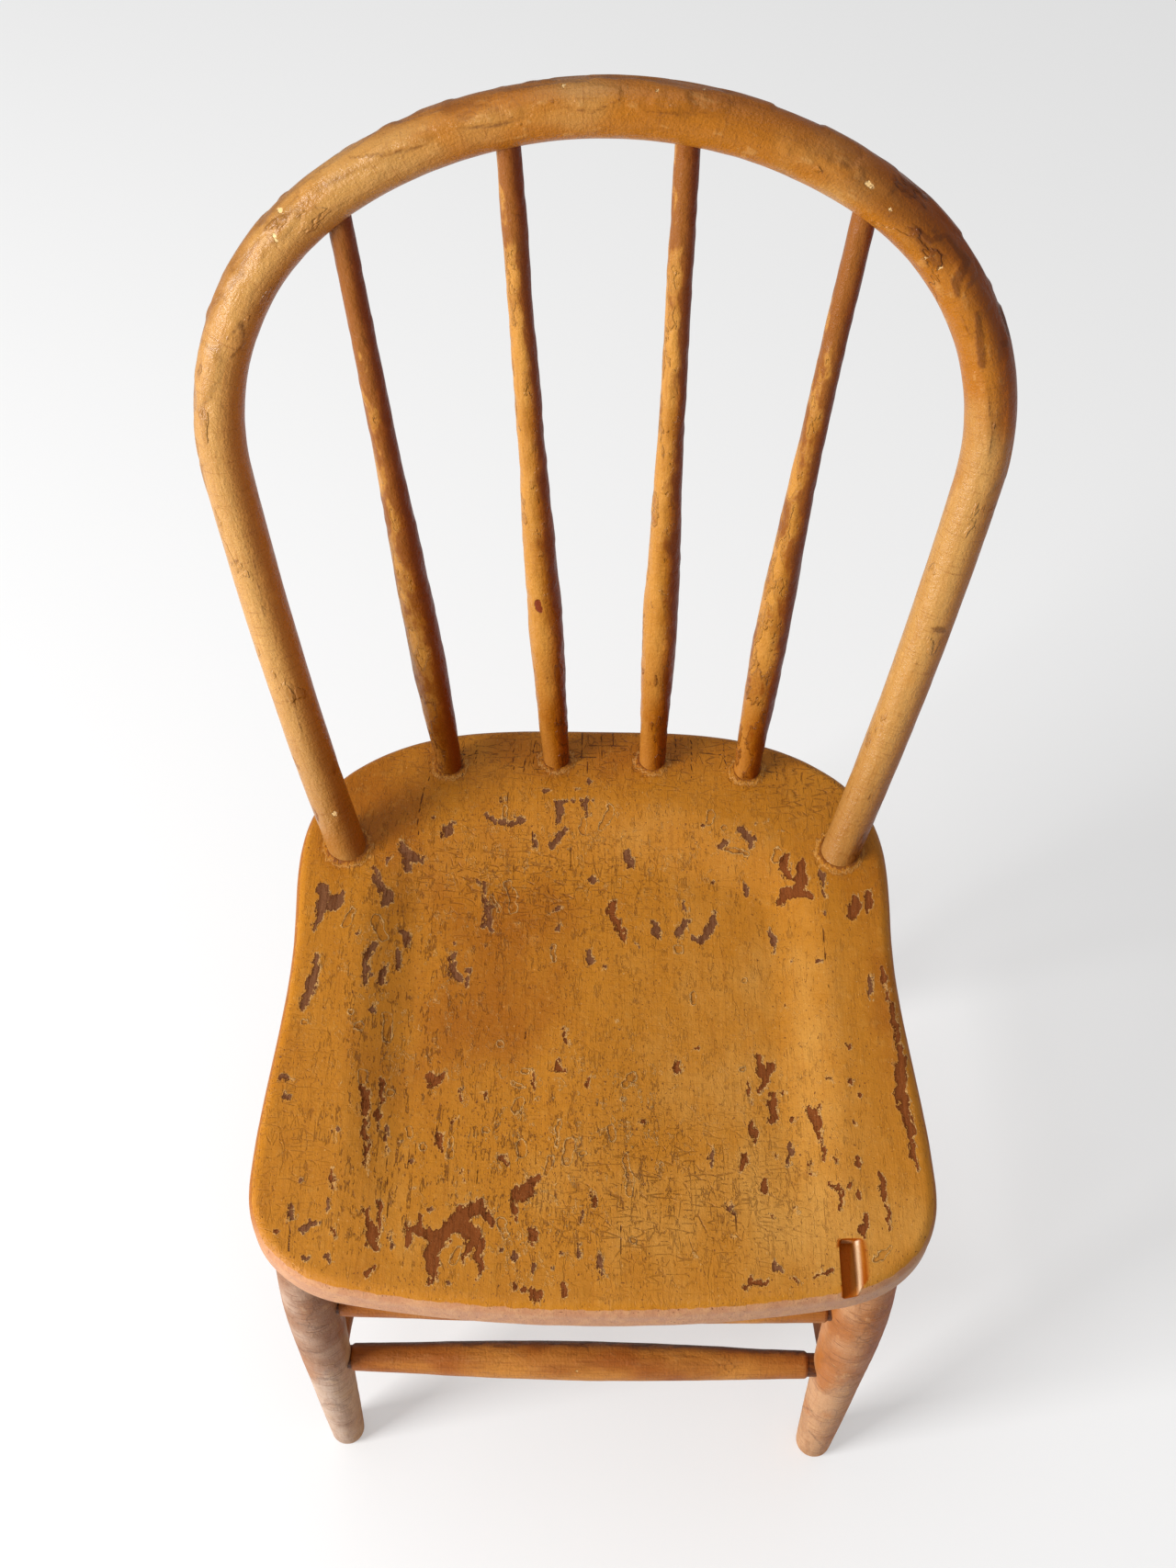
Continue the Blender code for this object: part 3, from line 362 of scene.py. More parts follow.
# Chips that were painted over, so they show as shallow dents with a pale outline, a painted
# highlight on the raised rim, and painted shade inside the left edge
OLD_CHIPS = {
    "back": (((635, 893, 4), (635, 906, 4)), ((665, 876, 3), (662, 888, 5), (654, 901, 3)), ((773, 886, 5),
        (771, 895, 4)), (788, 901, 2.5), ((847, 926, 5), (846, 934, 6)), ((790, 924, 3), (812, 929, 3)),
        ((549, 878, 2), (549, 888, 3))),
    "left": (((410, 1000, 6), (414, 1014, 6), (418, 1022, 4)), ((422, 1107, 6), (421, 1130, 5)),
        (391, 1118, 5), (382, 1101, 3.5), ((395, 1167, 5), (395, 1178, 4)), (425, 1189, 5),
        (461, 1249, 4.5), ((491, 1240, 3), (489, 1258, 3.5)), ((446, 1229, 3.5), (446, 1238, 2.5)),
        (437, 1243, 2.4), ((377, 1005, 5), (384, 990, 3)), (333, 1112, 4)),
    "middle": (((565, 1198, 4.5), (561, 1208, 5)), (584, 1196, 3), (572, 1167, 4), ((567, 1243, 4),
        (567, 1256, 5)), (529, 1230, 3.4), ((608, 1220, 2.4), (607, 1248, 2.8)), ((622, 1242, 5),
        (617, 1264, 6)), ((600, 1260, 3.6), (596, 1276, 4)), (635, 1256, 3.6), ((545, 1330, 5),
        (549, 1345, 4)), ((552, 962, 3.4), (558, 975, 5), (558, 992, 4)), ((536, 975, 2.4),
        (544, 992, 2.6)), (739, 1033, 5.5), ((755, 1083, 3), (755, 1092, 3)), (545, 1135, 4),
        ((603, 1030, 3.4), (602, 1048, 2.6)), ((498, 1360, 4), (494, 1371, 4.5)), ((560, 1180, 3),
        (570, 1184, 2.5))),
    "right": (((687, 1172, 5), (680, 1182, 3.6)), (678, 1197, 3), ((664, 1227, 4), (666, 1240, 4.4)),
        ((681, 1258, 2.6), (685, 1280, 3.4), (686, 1299, 4)), (808, 1165, 3), (809, 1067, 3),
        (719, 1268, 2.4), ((953, 1371, 4), (962, 1365, 3), (968, 1357, 2.2)), (690, 1350, 5))}
# Long cracks in the seat's paint, along the grain
CRACKS = {
    "back_rim": (((505, 812, 0.4), (503, 846, 0.4)), ((519, 808, 0.3), (518, 834, 0.3)), ((560, 802, 0.3),
        (559, 838, 0.4)), ((583, 799, 0.4), (580, 832, 0.4)), ((606, 798, 0.3), (605, 820, 0.3)),
        ((634, 797, 0.4), (633, 838, 0.4)), ((641, 797, 0.3), (640, 842, 0.4)), ((655, 798, 0.4),
        (656, 826, 0.3)), ((668, 797, 0.3), (668, 812, 0.3)), ((700, 800, 0.3), (701, 842, 0.3)),
        ((736, 798, 0.4), (735, 820, 0.4)), ((752, 806, 0.3), (753, 850, 0.3)), ((787, 804, 0.3),
        (790, 838, 0.3)), ((842, 816, 0.3), (846, 850, 0.3)), ((470, 824, 0.3), (466, 850, 0.3)),
        ((500, 822, 0.3), (548, 820, 0.3)), ((566, 818, 0.3), (592, 818, 0.3)), ((600, 826, 0.3),
        (650, 824, 0.3)), ((640, 812, 0.3), (690, 812, 0.3)), ((706, 826, 0.3), (742, 828, 0.3)),
        ((760, 820, 0.3), (800, 823, 0.3)), ((480, 838, 0.3), (520, 836, 0.3)), ((550, 834, 0.3),
        (600, 838, 0.3)), ((812, 836, 0.3), (850, 842, 0.3))),
    "behind": (((455, 891, 0.5), (455, 908, 0.5)), ((462, 858, 0.5), (456, 884, 0.5)), ((571, 822, 0.5),
        (570, 842, 0.5)), ((580, 905, 0.4), (579, 922, 0.4)), ((553, 862, 0.5), (552, 875, 0.5)),
        ((623, 905, 0.4), (620, 950, 0.4)), ((560, 935, 0.4), (560, 958, 0.4)), ((538, 955, 0.4),
        (537, 975, 0.4)), ((478, 980, 0.4), (477, 1000, 0.4))),
    "ahead": (((735, 1301, 0.6), (735, 1332, 0.6)), ((677, 1300, 0.5), (676, 1365, 0.4)), ((421, 1256, 0.5),
        (422, 1330, 0.5)), ((316, 1325, 0.5), (315, 1363, 0.6)), ((572, 1122, 0.4), (571, 1136, 0.6)),
        ((466, 1120, 0.5), (465, 1132, 0.5)), ((476, 1205, 0.5), (475, 1240, 0.5)), ((481, 1252, 0.5),
        (480, 1268, 0.4)), ((896, 1010, 0.5), (899, 1062, 0.5)), ((900, 1070, 0.5), (902, 1076, 0.5)),
        ((524, 1248, 0.5), (518, 1290, 0.5)), ((800, 1320, 0.4), (803, 1345, 0.5)))}


def hex_to_linear(code):
    """An sRGB hex colour as linear red, green, blue and an alpha of 1."""
    values = np.array([int(code[i:i + 2], 16) for i in (1, 3, 5)]) / 255
    linear = np.where(values <= 0.04045, values / 12.92, ((values + 0.055) / 1.055) ** 2.4)
    return (*linear, 1.0)


def smoothstep(low, high, value):
    """0 below low, 1 above high, and an eased rise between."""
    t = np.clip((value - low) / (high - low), 0.0, 1.0)
    return t * t * (3 - 2 * t)


def chance(cells, seed):
    """A repeatable number from 0 to 1 for every whole-numbered cell (an integer hash)."""
    whole = cells.astype(np.int64)
    mixed = (whole[..., 0] * 73856093) ^ (whole[..., 1] * 19349663) ^ (whole[..., 2] * 83492791)
    mixed = (mixed ^ (seed * 2654435761)) & 0xFFFFFFFF
    mixed = ((mixed ^ (mixed >> 15)) * 2246822519) & 0xFFFFFFFF
    mixed = ((mixed ^ (mixed >> 13)) * 3266489917) & 0xFFFFFFFF
    return ((mixed ^ (mixed >> 16)) & 0xFFFFFF) / 0xFFFFFF


def lumps(points, size, seed):
    """Smooth bumps from -1 to 1, about size metres across; size may differ along each axis.

    Value noise: each corner of a point's cell has its own chance, and the eight are blended by
    eased distances.
    """
    spot = points / np.asarray(size)
    cell = np.floor(spot)
    part = spot - cell
    ease = part ** 3 * (part * (part * 6 - 15) + 10)
    total = np.zeros(points.shape[:-1])
    for corner in np.ndindex(2, 2, 2):
        weight = np.prod(np.where(np.array(corner) == 1, ease, 1 - ease), axis=-1)
        total += weight * chance(cell + np.array(corner), seed)
    return 2 * total - 1


def camera_axes():
    """The camera's right, up and forward directions in the chair's frame."""
    ahead = np.array([math.sin(CAMERA_TURN) * math.cos(CAMERA_DOWN),
                      math.cos(CAMERA_TURN) * math.cos(CAMERA_DOWN), -math.sin(CAMERA_DOWN)])
    level = np.array([math.cos(CAMERA_TURN), -math.sin(CAMERA_TURN), 0.0])
    above = np.cross(level, ahead)
    right = math.cos(CAMERA_ROLL) * level + math.sin(CAMERA_ROLL) * above
    up = math.cos(CAMERA_ROLL) * above - math.sin(CAMERA_ROLL) * level
    return right, up, ahead


def add_camera():
    """The photograph's own camera; its lens in mm is focal pixels * sensor / picture height."""
    right, up, ahead = camera_axes()
    lens = bpy.data.cameras.new("camera")
    lens.sensor_width = SENSOR
    lens.lens = FOCAL_PIXELS * SENSOR / IMAGE_HEIGHT
    lens.clip_start = 0.01
    camera = bpy.data.objects.new("camera", lens)
    bpy.context.scene.collection.objects.link(camera)
    turn = Matrix([(right[i], up[i], -ahead[i]) for i in range(3)]).to_4x4()
    camera.matrix_world = Matrix.Translation(Vector(CAMERA_AT)) @ turn
    bpy.context.scene.camera = camera


def add_piece(name, points, quads, triangles, material, slot="", nodes=()):
    """A mesh from its points and its four- and three-cornered faces, turned to face outwards.

    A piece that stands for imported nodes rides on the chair.
    """
    if volume(points, quads, triangles) < 0:
        quads, triangles = quads[:, ::-1], triangles[:, ::-1]
    mesh = bpy.data.meshes.new(name)
    corners = np.concatenate([quads.ravel(), triangles.ravel()]).astype(np.int32)
    starts = np.concatenate([np.arange(len(quads)) * 4, len(quads) * 4 + np.arange(len(triangles)) * 3])
    mesh.vertices.add(len(points))
    mesh.vertices.foreach_set("co", points.astype(np.float32).ravel())
    mesh.loops.add(len(corners))
    mesh.loops.foreach_set("vertex_index", corners)
    mesh.polygons.add(len(starts))
    mesh.polygons.foreach_set("loop_start", starts.astype(np.int32))
    mesh.update(calc_edges=True)
    mesh.shade_smooth()
    mesh.materials.append(material)
    piece = bpy.data.objects.new(name, mesh)
    bpy.context.scene.collection.objects.link(piece)
    if nodes:
        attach(piece, "root")
        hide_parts(*nodes)
    return piece


def keep(piece, name, values):
    """Stores one number, or one vector, for every point of a piece, for its material to read."""
    kind, field = ("FLOAT_VECTOR", "vector") if values.ndim == 2 else ("FLOAT", "value")
    store = piece.data.attributes.new(name, kind, "POINT")
    store.data.foreach_set(field, values.astype(np.float32).ravel())


# Rods: a round section carried along a line

def straight_line(foot, head, count, bow=(0.0, 0.0)):
    """Points from foot to head, their two section axes and the run, bowed aside by an arch.

    The first axis points to +X as nearly as it can, the second to the front. The arch is
    4 t (1 - t), which is greatest, and equal to the bow, half way.
    """
    share = np.linspace(0, 1, count)
    along = (head - foot) / np.linalg.norm(head - foot)
    reference = np.array([0.0, -1.0, 0.0]) if abs(along[0]) > 0.7 else np.array([1.0, 0.0, 0.0])
    first = reference - along * (reference @ along)
    first /= np.linalg.norm(first)
    second = np.cross(along, first)
    if abs(along[0]) <= 0.7:
        second *= np.sign(-second[1]) or 1.0
    arch = 4 * share * (1 - share)
    centres = foot + share[:, None] * (head - foot) + arch[:, None] * (bow[0] * first + bow[1] * second)
    run = share * np.linalg.norm(head - foot)
    return centres, np.tile(first, (count, 1)), np.tile(second, (count, 1)), run


def rod(node, line, radius, sides, relief, coat, material, slot):
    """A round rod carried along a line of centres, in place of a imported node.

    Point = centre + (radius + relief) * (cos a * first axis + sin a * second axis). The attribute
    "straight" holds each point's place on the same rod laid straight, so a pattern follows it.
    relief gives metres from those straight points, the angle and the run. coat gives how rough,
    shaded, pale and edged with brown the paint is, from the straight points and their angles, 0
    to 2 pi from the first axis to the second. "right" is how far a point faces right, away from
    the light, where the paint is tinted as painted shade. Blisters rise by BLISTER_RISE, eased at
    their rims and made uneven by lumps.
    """
    centres, first_axis, second_axis, run = line
    angle = np.arange(sides) * 2 * np.pi / sides
    around = np.stack([np.cos(angle), np.sin(angle)], axis=-1)
    straight = np.empty((len(run), sides, 3))
    straight[..., :2] = radius[:, None, None] * around
    straight[..., 2] = run[:, None]
    reach = radius[:, None] + relief(straight, angle[None, :], run[:, None])
    outward = around[None, :, :1] * first_axis[:, None, :] + around[None, :, 1:] * second_axis[:, None, :]
    points = centres[:, None, :] + reach[..., None] * outward
    points = np.concatenate([points.reshape(-1, 3), centres[:1], centres[-1:]])
    straight = np.concatenate([straight.reshape(-1, 3), [[0, 0, run[0]], [0, 0, run[-1]]]])
    piece = add_piece(node + "_painted", points, *tube_faces(len(run), sides), material, slot, [node])
    keep(piece, "straight", straight)
    places, radial = points[:-2], outward.reshape(-1, 3)
    # How far each point faces right, away from the light: the paint tints that side as painted shade
    keep(piece, "right", np.append(smoothstep(-0.1, 0.9, radial[:, 0]), (0.0, 0.0)))
    marks = MARKS.get(node, {})
    for kind in ("mark", "nick"):
        keep(piece, kind, seen_field(places, radial, marks.get(kind, ())))
    blister = seen_field(places, radial, marks.get("blister", ()))
    raised = BLISTER_RISE * (1 - smoothstep(-0.6, 0.5, blister)) * (1 + 0.5 * lumps(points, 3 * MM, 81))
    points[:-2] += raised[:-2, None] * radial
    piece.data.vertices.foreach_set("co", points.astype(np.float32).ravel())
    shares = coat(straight, np.arctan2(straight[:, 1], straight[:, 0]) % (2 * np.pi))
    for kind in ("rough", "shade", "pale", "edge"):
        keep(piece, kind, shares.get(kind, np.zeros(len(points))))
    return piece


def beads_of(stroke):
    """The places and the radii of a stroke's beads, at least two: one by itself is doubled."""
    beads = np.array(stroke, dtype=float).reshape(-1, 3)
    beads = np.repeat(beads, 2, axis=0) if len(beads) == 1 else beads
    return beads[:, :2], beads[:, 2]


def stroke_gap(spots, places, radii):
    """Signed distance from each spot to a chain of beads, negative inside.

    Between two beads it is the distance to the line between them, less the radius blended from
    bead to bead.
    """
    gaps = []
    for a, b, r0, r1 in zip(places, places[1:], radii, radii[1:]):
        chord = b - a
        share = np.clip(((spots - a) @ chord) / max(chord @ chord, 1e-12), 0, 1)
        gaps.append(np.linalg.norm(spots - a - share[:, None] * chord, axis=1) - (r0 + (r1 - r0) * share))
    return np.min(gaps, axis=0)


def seen_field(places, outward, strokes):
    """Signed distance in mm from each point to strokes given in the photograph's pixels.

    A point is first laid on the picture by the camera's formula. Points that face away from the
    camera are far from every stroke. Two more values, for a rod's end points, are far too.
    """
    far = np.full(len(places), FAR_FROM_MARKS)
    if len(strokes):
        right, up, ahead = camera_axes()
        ray = places - CAMERA_AT
        depth = ray @ ahead
        at = np.column_stack([IMAGE_WIDTH / 2 + FOCAL_PIXELS * (ray @ right) / depth,
                              IMAGE_HEIGHT / 2 - FOCAL_PIXELS * (ray @ up) / depth])
        facing = np.sum(ray * outward, axis=1) < 0
        pixel = depth / FOCAL_PIXELS / MM
        for stroke in strokes:
            gap = stroke_gap(at, *beads_of(stroke))
            far = np.where(facing, np.minimum(far, gap * pixel), far)
    return np.append(far, (FAR_FROM_MARKS, FAR_FROM_MARKS))


def tube_faces(rows, sides):
    """Faces of a closed tube whose points run ring by ring, followed by its two end points."""
    ring, step = np.meshgrid(np.arange(rows - 1), np.arange(sides), indexing="ij")
    here, beside = ring * sides + step, ring * sides + (step + 1) % sides
    quads = np.stack([here, beside, beside + sides, here + sides], axis=-1).reshape(-1, 4)
    step = np.arange(sides)
    last_ring = (rows - 1) * sides
    start = np.stack([np.full(sides, rows * sides), (step + 1) % sides, step], axis=-1)
    end = np.stack([np.full(sides, rows * sides + 1), last_ring + step,
                    last_ring + (step + 1) % sides], axis=-1)
    return quads, np.concatenate([start, end])


def volume(points, quads, triangles):
    """Six times the volume that the faces close in; it is negative if they point inwards."""
    faces = np.concatenate([quads[:, [0, 1, 2]], quads[:, [0, 2, 3]], triangles])
    a, b, c = (points[faces[:, i]] for i in range(3))
    return float(np.sum(a * np.cross(b, c)))


def read_points(mesh, field="co"):
    """The place, or the normal, of every point of a mesh."""
    flat = np.empty(len(mesh.vertices) * 3, dtype=np.float32)
    mesh.vertices.foreach_get(field, flat)
    return flat.reshape(-1, 3).astype(float)


def middle(points):
    """The middle of the points' box."""
    return (points.min(axis=0) + points.max(axis=0)) / 2


def axis_of(node):
    """Where the axis of a packed turned node starts and ends, low end or left end first.

    It starts as the points' main direction and is then drawn between the middles of the two end
    rings. A foot that is sawn level ends on the floor.
    """
    points = read_points(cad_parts[node].data)
    along = np.linalg.svd(points - points.mean(axis=0), full_matrices=False)[2][0]
    along *= np.sign(along[np.argmax(np.abs(along))])
    on_floor = points[:, 2] < 0.05 * MM
    for _ in range(6):
        reach = points @ along
        head = middle(points[reach > reach.max() - 0.4 * MM])
        foot = middle(points[on_floor if on_floor.any() else reach < reach.min() + 0.4 * MM])
        along = (head - foot) / np.linalg.norm(head - foot)
    return foot, head


def turned_radius(stations, run):
    """The radius at each run, on a smooth cubic through (run, radius) stations."""
    spots, radii = (np.array(column) for column in zip(*stations))
    slopes = np.gradient(radii, spots)
    at = np.clip(np.searchsorted(spots, run) - 1, 0, len(spots) - 2)
    step = spots[at + 1] - spots[at]
    t = np.clip((run - spots[at]) / step, 0, 1)
    return ((2 * t ** 3 - 3 * t ** 2 + 1) * radii[at] + (t ** 3 - 2 * t ** 2 + t) * step * slopes[at]
            + (3 * t ** 2 - 2 * t ** 3) * radii[at + 1] + (t ** 3 - t ** 2) * step * slopes[at + 1])


def brushed_paint(thick, coarse, fine, seed):
    """Relief of thick brushed paint: a function of a rod's straight points, angle and run."""
    def relief(straight, angle, run):
        """thick * (0.62 * broad sags + 0.38 * finer lumps), both drawn out along the rod."""
        broad = lumps(straight, (coarse, coarse, 2.2 * coarse), seed)
        small = lumps(straight, (fine, fine, 1.6 * fine), seed + 1)
        return thick * (0.62 * broad + 0.38 * small)
    return relief


# The hoop

def hoop_line(count):
    """The bent hoop's centre line from foot to foot, with its two section axes and its run.

    Half of it is two arcs and a nearly straight leg, each across += R (sin b - sin a) and
    drop += R (cos a - cos b) from heading a to heading b, and then the stub in its socket. It
    lies in a plane that leans back. The first axis points away from the hoop's middle, the
    second to the front.
    """
    shoulder_end = math.pi / 2 + HOOP_TOE_IN
    foot_turn = shoulder_end + HOOP_LEG_LENGTH / HOOP_LEG_BOW_R
    arcs = [(HOOP_SHOULDER_R, HOOP_CROWN_TURN, shoulder_end), (HOOP_LEG_BOW_R, shoulder_end, foot_turn)]
    lower_reach = sum(r * (math.sin(b) - math.sin(a)) for r, a, b in arcs)
    crown_r = (HOOP_FOOT_HALF - lower_reach) / math.sin(HOOP_CROWN_TURN)
    arcs = [(crown_r, 0.0, HOOP_CROWN_TURN)] + arcs
    half_length = sum(r * (b - a) for r, a, b in arcs)
    run = np.linspace(-(half_length + HOOP_SUNK), half_length + HOOP_SUNK, count)
    left = np.abs(run)
    across, drop, heading = np.zeros(count), np.zeros(count), np.zeros(count)
    for radius, a, b in arcs:
        turn = a + np.clip(left / radius, 0, b - a)
        across += radius * (np.sin(turn) - math.sin(a))
        drop += radius * (math.cos(a) - np.cos(turn))
        heading = np.where(left > 0, turn, heading)
        left = left - np.clip(left, 0, radius * (b - a))
    rise_all = drop.max()
    across += left * math.cos(foot_turn)
    drop += left * math.sin(foot_turn)
    side = np.sign(run)
    rise = rise_all - drop
    up = np.array([0.0, math.sin(HOOP_LEAN), math.cos(HOOP_LEAN)])
    sideways = np.array([1.0, 0.0, 0.0])
    foot = np.array([0.0, HOOP_FOOT_Y, SEAT_TOP])
    centres = foot + (side * across)[:, None] * sideways + rise[:, None] * up
    away = (side * np.sin(heading))[:, None] * sideways + np.cos(heading)[:, None] * up
    front = np.array([0.0, -math.cos(HOOP_LEAN), math.sin(HOOP_LEAN)])
    share = np.abs(run) / half_length
    widest = (crown_r * HOOP_CROWN_TURN + HOOP_SHOULDER_R * (math.pi / 2 - HOOP_CROWN_TURN)) / half_length
    radius = np.interp(share, [0, widest, 1], [HOOP_CROWN_R, HOOP_SIDE_R, HOOP_FOOT_R])
    return (centres, away, np.tile(front, (count, 1)), run), radius


def build_hoop(material):
    """The hoop, smooth in front, its paint sagged in steps over the crown's upper and rear half."""
    line, radius = hoop_line(HOOP_RINGS)
    half_length = line[3][-1]
    brushed = brushed_paint(0.22 * MM, 12 * MM, 4 * MM, 11)

    def from_outer(angle):
        """The angle away from the hoop's outer rim, either way."""
        return np.abs((angle + np.pi) % (2 * np.pi) - np.pi)

    def sagged(straight, angle):
        """1 on the outer half of the crown and the shoulders, where the paint sagged."""
        share = np.abs(straight[..., 2]) / half_length
        high = 1 - smoothstep(0.42, 0.62, share)
        return (1 - smoothstep(1.1, 1.6, from_outer(angle) + 0.4 * lumps(straight, 0.018, 12))) * high

    def sag(straight):
        """Below 0 between the sags, above it on them: each is a plateau with a rounded step."""
        return lumps(straight, (0.008, 0.008, 0.017), 13) + 0.35 * lumps(straight, (0.003, 0.003, 0.006), 15)

    def relief(straight, angle, run):
        """Brushed paint, with SAG_RISE more or less where the paint sagged."""
        step = smoothstep(-0.12, 0.22, sag(straight))
        return brushed(straight, angle, run) + SAG_RISE * sagged(straight, angle) * (step - 0.3)

    def coat(straight, angle):
        """Brown on the rim of the crown and down the right shoulder's outer side, away from the light, partly
        brown coat and partly painted shade; pale down both legs, from higher up on the left, towards the
        light, partly as painted light.
        """
        along = straight[:, 2]
        outer = from_outer(angle) + 0.5 * lumps(straight, 0.014, 14)
        # The right shoulder's outer side, away from the light: brown, partly as painted shade
        shoulder = smoothstep(0.06, 0.13, along) * (1 - smoothstep(0.19, 0.25, along))
        rim = 0.6 * (1 - smoothstep(0.1, 1.0, outer)) * (1 - smoothstep(0.18, 0.30, np.abs(along)))
        rim += 0.15 * sagged(straight, angle)
        rim += 0.55 * smoothstep(0.34, 0.47, np.abs(along) + 0.02 * lumps(straight, 0.02, 16))
        # A dark line at the foot of each sagged step: painted shadow under the step
        foot_of_step = np.exp(-((sag(straight) + 0.08) / 0.09) ** 2) * sagged(straight, angle)
        # Paler down both legs, and from higher up on the left, towards the light: partly painted light
        legs = np.maximum(smoothstep(0.02, 0.16, -along), smoothstep(0.19, 0.28, along))
        return {"rough": np.full(len(straight), -0.5), "edge": foot_of_step, "pale": 1.6 * legs - 0.6,
                "shade": np.maximum(rim, shoulder * (1 - smoothstep(1.0, 2.1, outer)))}
    rod("hoop", line, radius, HOOP_SIDES, relief, coat, material, "hoop_paint")


# The seat

def seat_outline(samples):
    """Half of the seat's plan, front middle to back middle: a chain of cubic Bezier curves.

    Between two knots the curve is (1-t)^3 a + 3 (1-t)^2 t b + 3 (1-t) t^2 c + t^3 d, where b and c
    lie along the knots' headings by a share of the chord.
    """
    pieces = []
    t = (np.arange(samples) / samples)[:, None]
    for (x0, y0, turn0), (x1, y1, turn1) in zip(SEAT_KNOTS, SEAT_KNOTS[1:]):
        a, d = np.array([x0, y0]), np.array([x1, y1])
        reach = KNOT_REACH * np.linalg.norm(d - a)
        b = a + reach * np.array([math.cos(math.radians(turn0)), math.sin(math.radians(turn0))])
        c = d - reach * np.array([math.cos(math.radians(turn1)), math.sin(math.radians(turn1))])
        pieces.append((1 - t) ** 3 * a + 3 * (1 - t) ** 2 * t * b + 3 * (1 - t) * t ** 2 * c + t ** 3 * d)
    return np.concatenate(pieces + [[[0.0, SEAT_DEPTH]]])


def evenly(points, count):
    """count + 1 points at equal distances along a line of points."""
    steps = np.linalg.norm(np.diff(points, axis=0), axis=1)
    reach = np.concatenate([[0], np.cumsum(steps)])
    wanted = np.linspace(0, reach[-1], count + 1)
    return np.stack([np.interp(wanted, reach, points[:, i]) for i in range(2)], axis=-1)


def seat_loop(across, back):
    """The seat's outline as one loop of points, corner to corner, with its inward directions."""
    samples = OUTLINE_SAMPLES
    half = seat_outline(samples)
    mirrored = half * (-1, 1)
    front_at, back_at = FRONT_CORNER * samples, BACK_CORNER * samples
    front = evenly(np.concatenate([mirrored[front_at:0:-1], half[:front_at + 1]]), across)
    right = evenly(half[front_at:back_at + 1], back)
    rear = evenly(np.concatenate([half[back_at:], mirrored[-2:back_at - 1:-1]]), across)
    left = evenly(mirrored[back_at:front_at - 1:-1], back)
    loop = np.concatenate([side[:-1] for side in (front, right, rear, left)])
    run = np.roll(loop, -1, axis=0) - np.roll(loop, 1, axis=0)
    run /= np.linalg.norm(run, axis=1)[:, None]
    return loop, np.stack([-run[:, 1], run[:, 0]], axis=-1)


def saddle(x, y):
    """How deep the seat's hollow is at x, and y behind the front edge.

    Depth less a low pommel, times three eased slopes: in from the sides, in from an arched line
    at the back, and rising to nothing at the front.
    """
    side = SEAT_HALF - SADDLE_SIDE_RIM
    arch = SADDLE_ARCH * np.minimum(np.abs(x) / side, 1.0) ** 2
    slopes = (smoothstep(0, SADDLE_WALL, side - np.abs(x)) * smoothstep(0, SADDLE_RUN_OUT, y)
              * smoothstep(0, SADDLE_WALL * 1.4, SEAT_DEPTH - SADDLE_BACK_RIM - arch - y))
    pommel = POMMEL_RISE * np.exp(-(x / POMMEL_HALF_WIDTH) ** 2)
    pommel = pommel * (1 - smoothstep(0.3 * SEAT_DEPTH, 0.65 * SEAT_DEPTH, y))
    return (SADDLE_DEPTH - pommel) * slopes


def seat_patch(edge, across, back):
    """A grid stretched inside a loop of points, row by row from left to right.

    Coons patch: the blend of front and back by v, plus the blend of left and right by u, less
    the blend of the four corners by both.
    """
    u = (np.arange(across + 1) / across)[:, None, None]
    v = (np.arange(back + 1) / back)[None, :, None]
    closed = np.concatenate([edge, edge[:1]])
    front, right = closed[:across + 1], closed[across:across + back + 1]
    rear = closed[across + back:2 * across + back + 1][::-1]
    left = closed[2 * across + back:][::-1]
    corners = ((1 - u) * (1 - v) * front[0] + u * (1 - v) * front[-1] + (1 - u) * v * rear[0]
               + u * v * rear[-1])
    return ((1 - v) * front[:, None] + v * rear[:, None] + (1 - u) * left[None] + u * right[None]
            - corners)


